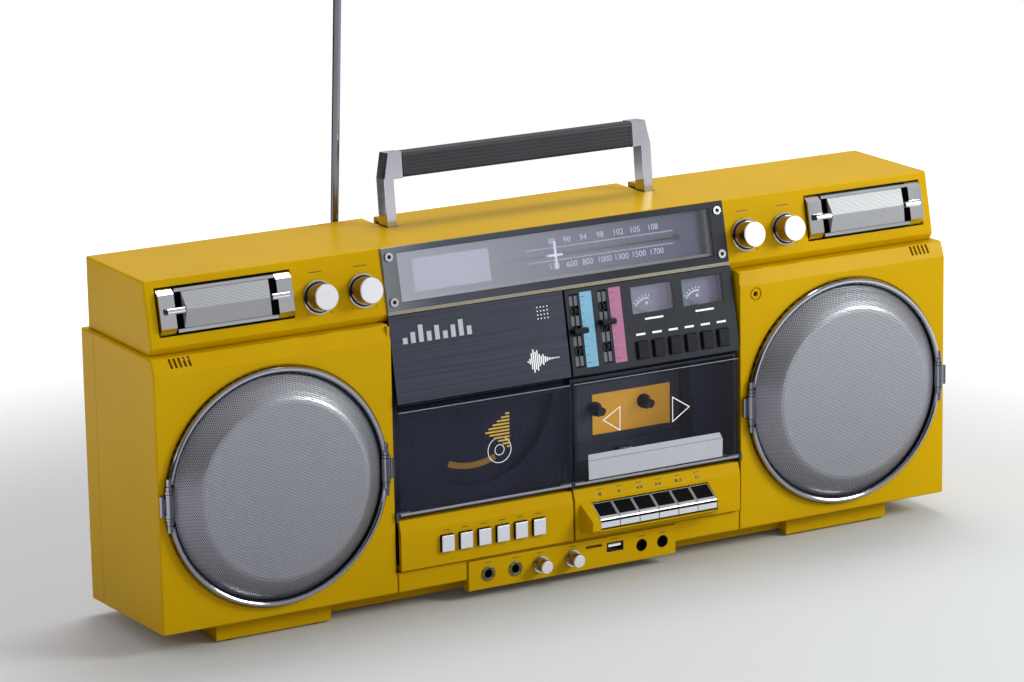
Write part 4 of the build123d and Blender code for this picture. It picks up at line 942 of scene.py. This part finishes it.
for i in range(6):
    x = KEY_X0 + KEY_PITCH * i + KEY_W / 2 - 0.3
    symbols.box(LEDGE, (x - 2.4, x + 2.4), (6.6, 7.1), INK_OUT)
    if i == 0:
        symbols.disc(LEDGE, (x, SYMBOL_UP), 1.4, *INK_OUT)
    elif i == 1:
        triangle(symbols, x, 2.8, 1)
    elif i in (2, 3):
        towards = -1 if i == 2 else 1
        triangle(symbols, x - 1.5, 2.6, towards)
        triangle(symbols, x + 1.5, 2.6, towards)
    elif i == 4:
        symbols.box(LEDGE, (x - 2.6, x - 0.2), BAR_UP, INK_OUT)
        peak = [(x + 1.2, SYMBOL_UP - 0.2), (x + 3.6, SYMBOL_UP - 0.2), (x + 2.4, SYMBOL_UP + 1.4)]
        symbols.prism(LEDGE, peak, *INK_OUT)
        symbols.box(LEDGE, (x + 1.2, x + 3.6), (SYMBOL_UP - 1.2, SYMBOL_UP - 0.6), INK_OUT)
    else:
        for bar in (-0.9, 0.9):
            symbols.box(LEDGE, (x + bar - 0.4, x + bar + 0.4), BAR_UP, INK_OUT)
symbols.make("transport_symbols", DARK_INK, "casing")

# ---------------------------------------------------------------- small marks beside knobs and sockets
KNOB_X = (-197.9, -162.0, 162.0, 197.9)
SOCKET_MARKS = ((-72.5, 27.6), (-49.6, 27.6), (-28.5, 27.8), (-1.0, 27.8), (36.0, 27.8), (59.2, 26.2),
                (77.5, 26.2))
JACK_PANEL_OUT = 1.2
FASCIA_OUT = 3.3
PRESET_X0 = -107.8
PRESET_PITCH = 15.4
marks = Shape()
for x in KNOB_X:
    marks.box(DIAL, (x - 5.0, x + 5.0), (37.2, 37.8), INK_OUT)
    for side in (-1, 1):
        marks.disc(DIAL, (x + side * 9.5, 7.6), 0.55, *INK_OUT, 12)
for x, up in SOCKET_MARKS:
    marks.box(FACE, (x - 2.6, x + 2.6), (up - 0.25, up + 0.25),
              (JACK_PANEL_OUT + LIFT, JACK_PANEL_OUT + LIFT + INK))
for i in range(6):
    x = PRESET_X0 + PRESET_PITCH * i
    marks.box(FACE, (x - 2.8, x + 2.8), (58.6, 59.2), (FASCIA_OUT + LIFT, FASCIA_OUT + LIFT + INK))
marks.make("small_marks", DARK_INK, "casing")

tongue = Shape()
tongue.box(FACE, (30.6, 41.4), (21.9, 23.5), (-11.0, 0.6))
tongue.make("usb_tongue", WHITE_INK, "casing", bevel=0.2)

# ---------------------------------------------------------------- camera, floor and light
CAMERA_AT = (-1.52395, -2.67010, 0.94955)
CAMERA_AZIMUTH = -29.436
CAMERA_ELEVATION = 14.172
CAMERA_ROLL = -1.009
CAMERA_LENS = 149.7

azimuth = math.radians(CAMERA_AZIMUTH)
elevation = math.radians(CAMERA_ELEVATION)
roll = math.radians(CAMERA_ROLL)
backward = Vector((math.sin(azimuth) * math.cos(elevation), -math.cos(azimuth) * math.cos(elevation),
                   math.sin(elevation)))
level_right = Vector((0, 0, 1)).cross(backward).normalized()
level_up = backward.cross(level_right)
right = level_right * math.cos(roll) + level_up * math.sin(roll)
upward = level_up * math.cos(roll) - level_right * math.sin(roll)
camera_data = bpy.data.cameras.new("camera")
camera_data.lens = CAMERA_LENS
camera_data.sensor_width = 36.0
camera_data.clip_end = 100.0
camera = bpy.data.objects.new("camera", camera_data)
camera.matrix_world = Matrix.Translation(CAMERA_AT) @ Matrix((right, upward, backward)).transposed().to_4x4()
bpy.context.scene.collection.objects.link(camera)
bpy.context.scene.camera = camera

FLOOR_SIDE = 5.0
FLOOR_FRONT = -5.0
FLOOR_BACK = 1.15
floor_mesh = bpy.data.meshes.new("floor")
floor_mesh.from_pydata([(-FLOOR_SIDE, FLOOR_FRONT, 0), (FLOOR_SIDE, FLOOR_FRONT, 0),
                        (FLOOR_SIDE, FLOOR_BACK, 0), (-FLOOR_SIDE, FLOOR_BACK, 0)], [], [(0, 1, 2, 3)])
floor = bpy.data.objects.new("floor", floor_mesh)
bpy.context.scene.collection.objects.link(floor)
floor_mesh.materials.append(studio_floor())


def softbox(name, at, towards, size, power, colour=(1, 1, 1)):
    """A rectangular area light that looks at a point."""
    data = bpy.data.lights.new(name, "AREA")
    data.shape = "RECTANGLE"
    data.size, data.size_y = size
    data.energy = power
    data.color = colour
    light = bpy.data.objects.new(name, data)
    light.location = at
    light.rotation_euler = (Vector(towards) - Vector(at)).to_track_quat("-Z", "Y").to_euler()
    bpy.context.scene.collection.objects.link(light)


softbox("key_light", (1.35, -1.15, 0.95), (0.25, 0, 0.15), (0.7, 0.6), 26, (0.94, 1.0, 0.9))
softbox("top_light", (0.45, 0.65, 2.3), (0, 0, 0.1), (1.2, 1.0), 28)
softbox("left_light", (-2.2, 0.3, 1.2), (-0.3, 0, 0.15), (1.0, 1.0), 7)

# The studio: white overhead and to the right, dark at the left and around the camera, and white where
# the camera looks past the object.
world = bpy.data.worlds.new("studio")
world.use_nodes = True
bpy.context.scene.world = world
tree = world.node_tree
backdrop = tree.nodes["Background"]


def world_node(kind, **inputs):
    made = tree.nodes.new("ShaderNode" + kind)
    for key, value in inputs.items():
        made.inputs[key.replace("_", " ")].default_value = value
    return made


coords = world_node("TexCoord")
split = world_node("SeparateXYZ")
tree.links.new(coords.outputs["Generated"], split.inputs["Vector"])
sideways = world_node("MapRange", From_Min=-0.15, From_Max=0.35, To_Min=0.04, To_Max=0.5)
overhead = world_node("MapRange", From_Min=0.25, From_Max=0.65)
tree.links.new(split.outputs["X"], sideways.inputs["Value"])
tree.links.new(split.outputs["Z"], overhead.inputs["Value"])
sky = tree.nodes.new("ShaderNodeMix")
sky.inputs["B"].default_value = 0.6
tree.links.new(overhead.outputs["Result"], sky.inputs["Factor"])
tree.links.new(sideways.outputs["Result"], sky.inputs["A"])
seen = tree.nodes.new("ShaderNodeMix")
seen.inputs["B"].default_value = 1.0
path = world_node("LightPath")
tree.links.new(path.outputs["Is Camera Ray"], seen.inputs["Factor"])
tree.links.new(sky.outputs["Result"], seen.inputs["A"])
tree.links.new(seen.outputs["Result"], backdrop.inputs["Color"])

bpy.context.scene.view_settings.view_transform = "Standard"
bpy.context.scene.view_settings.look = "None"
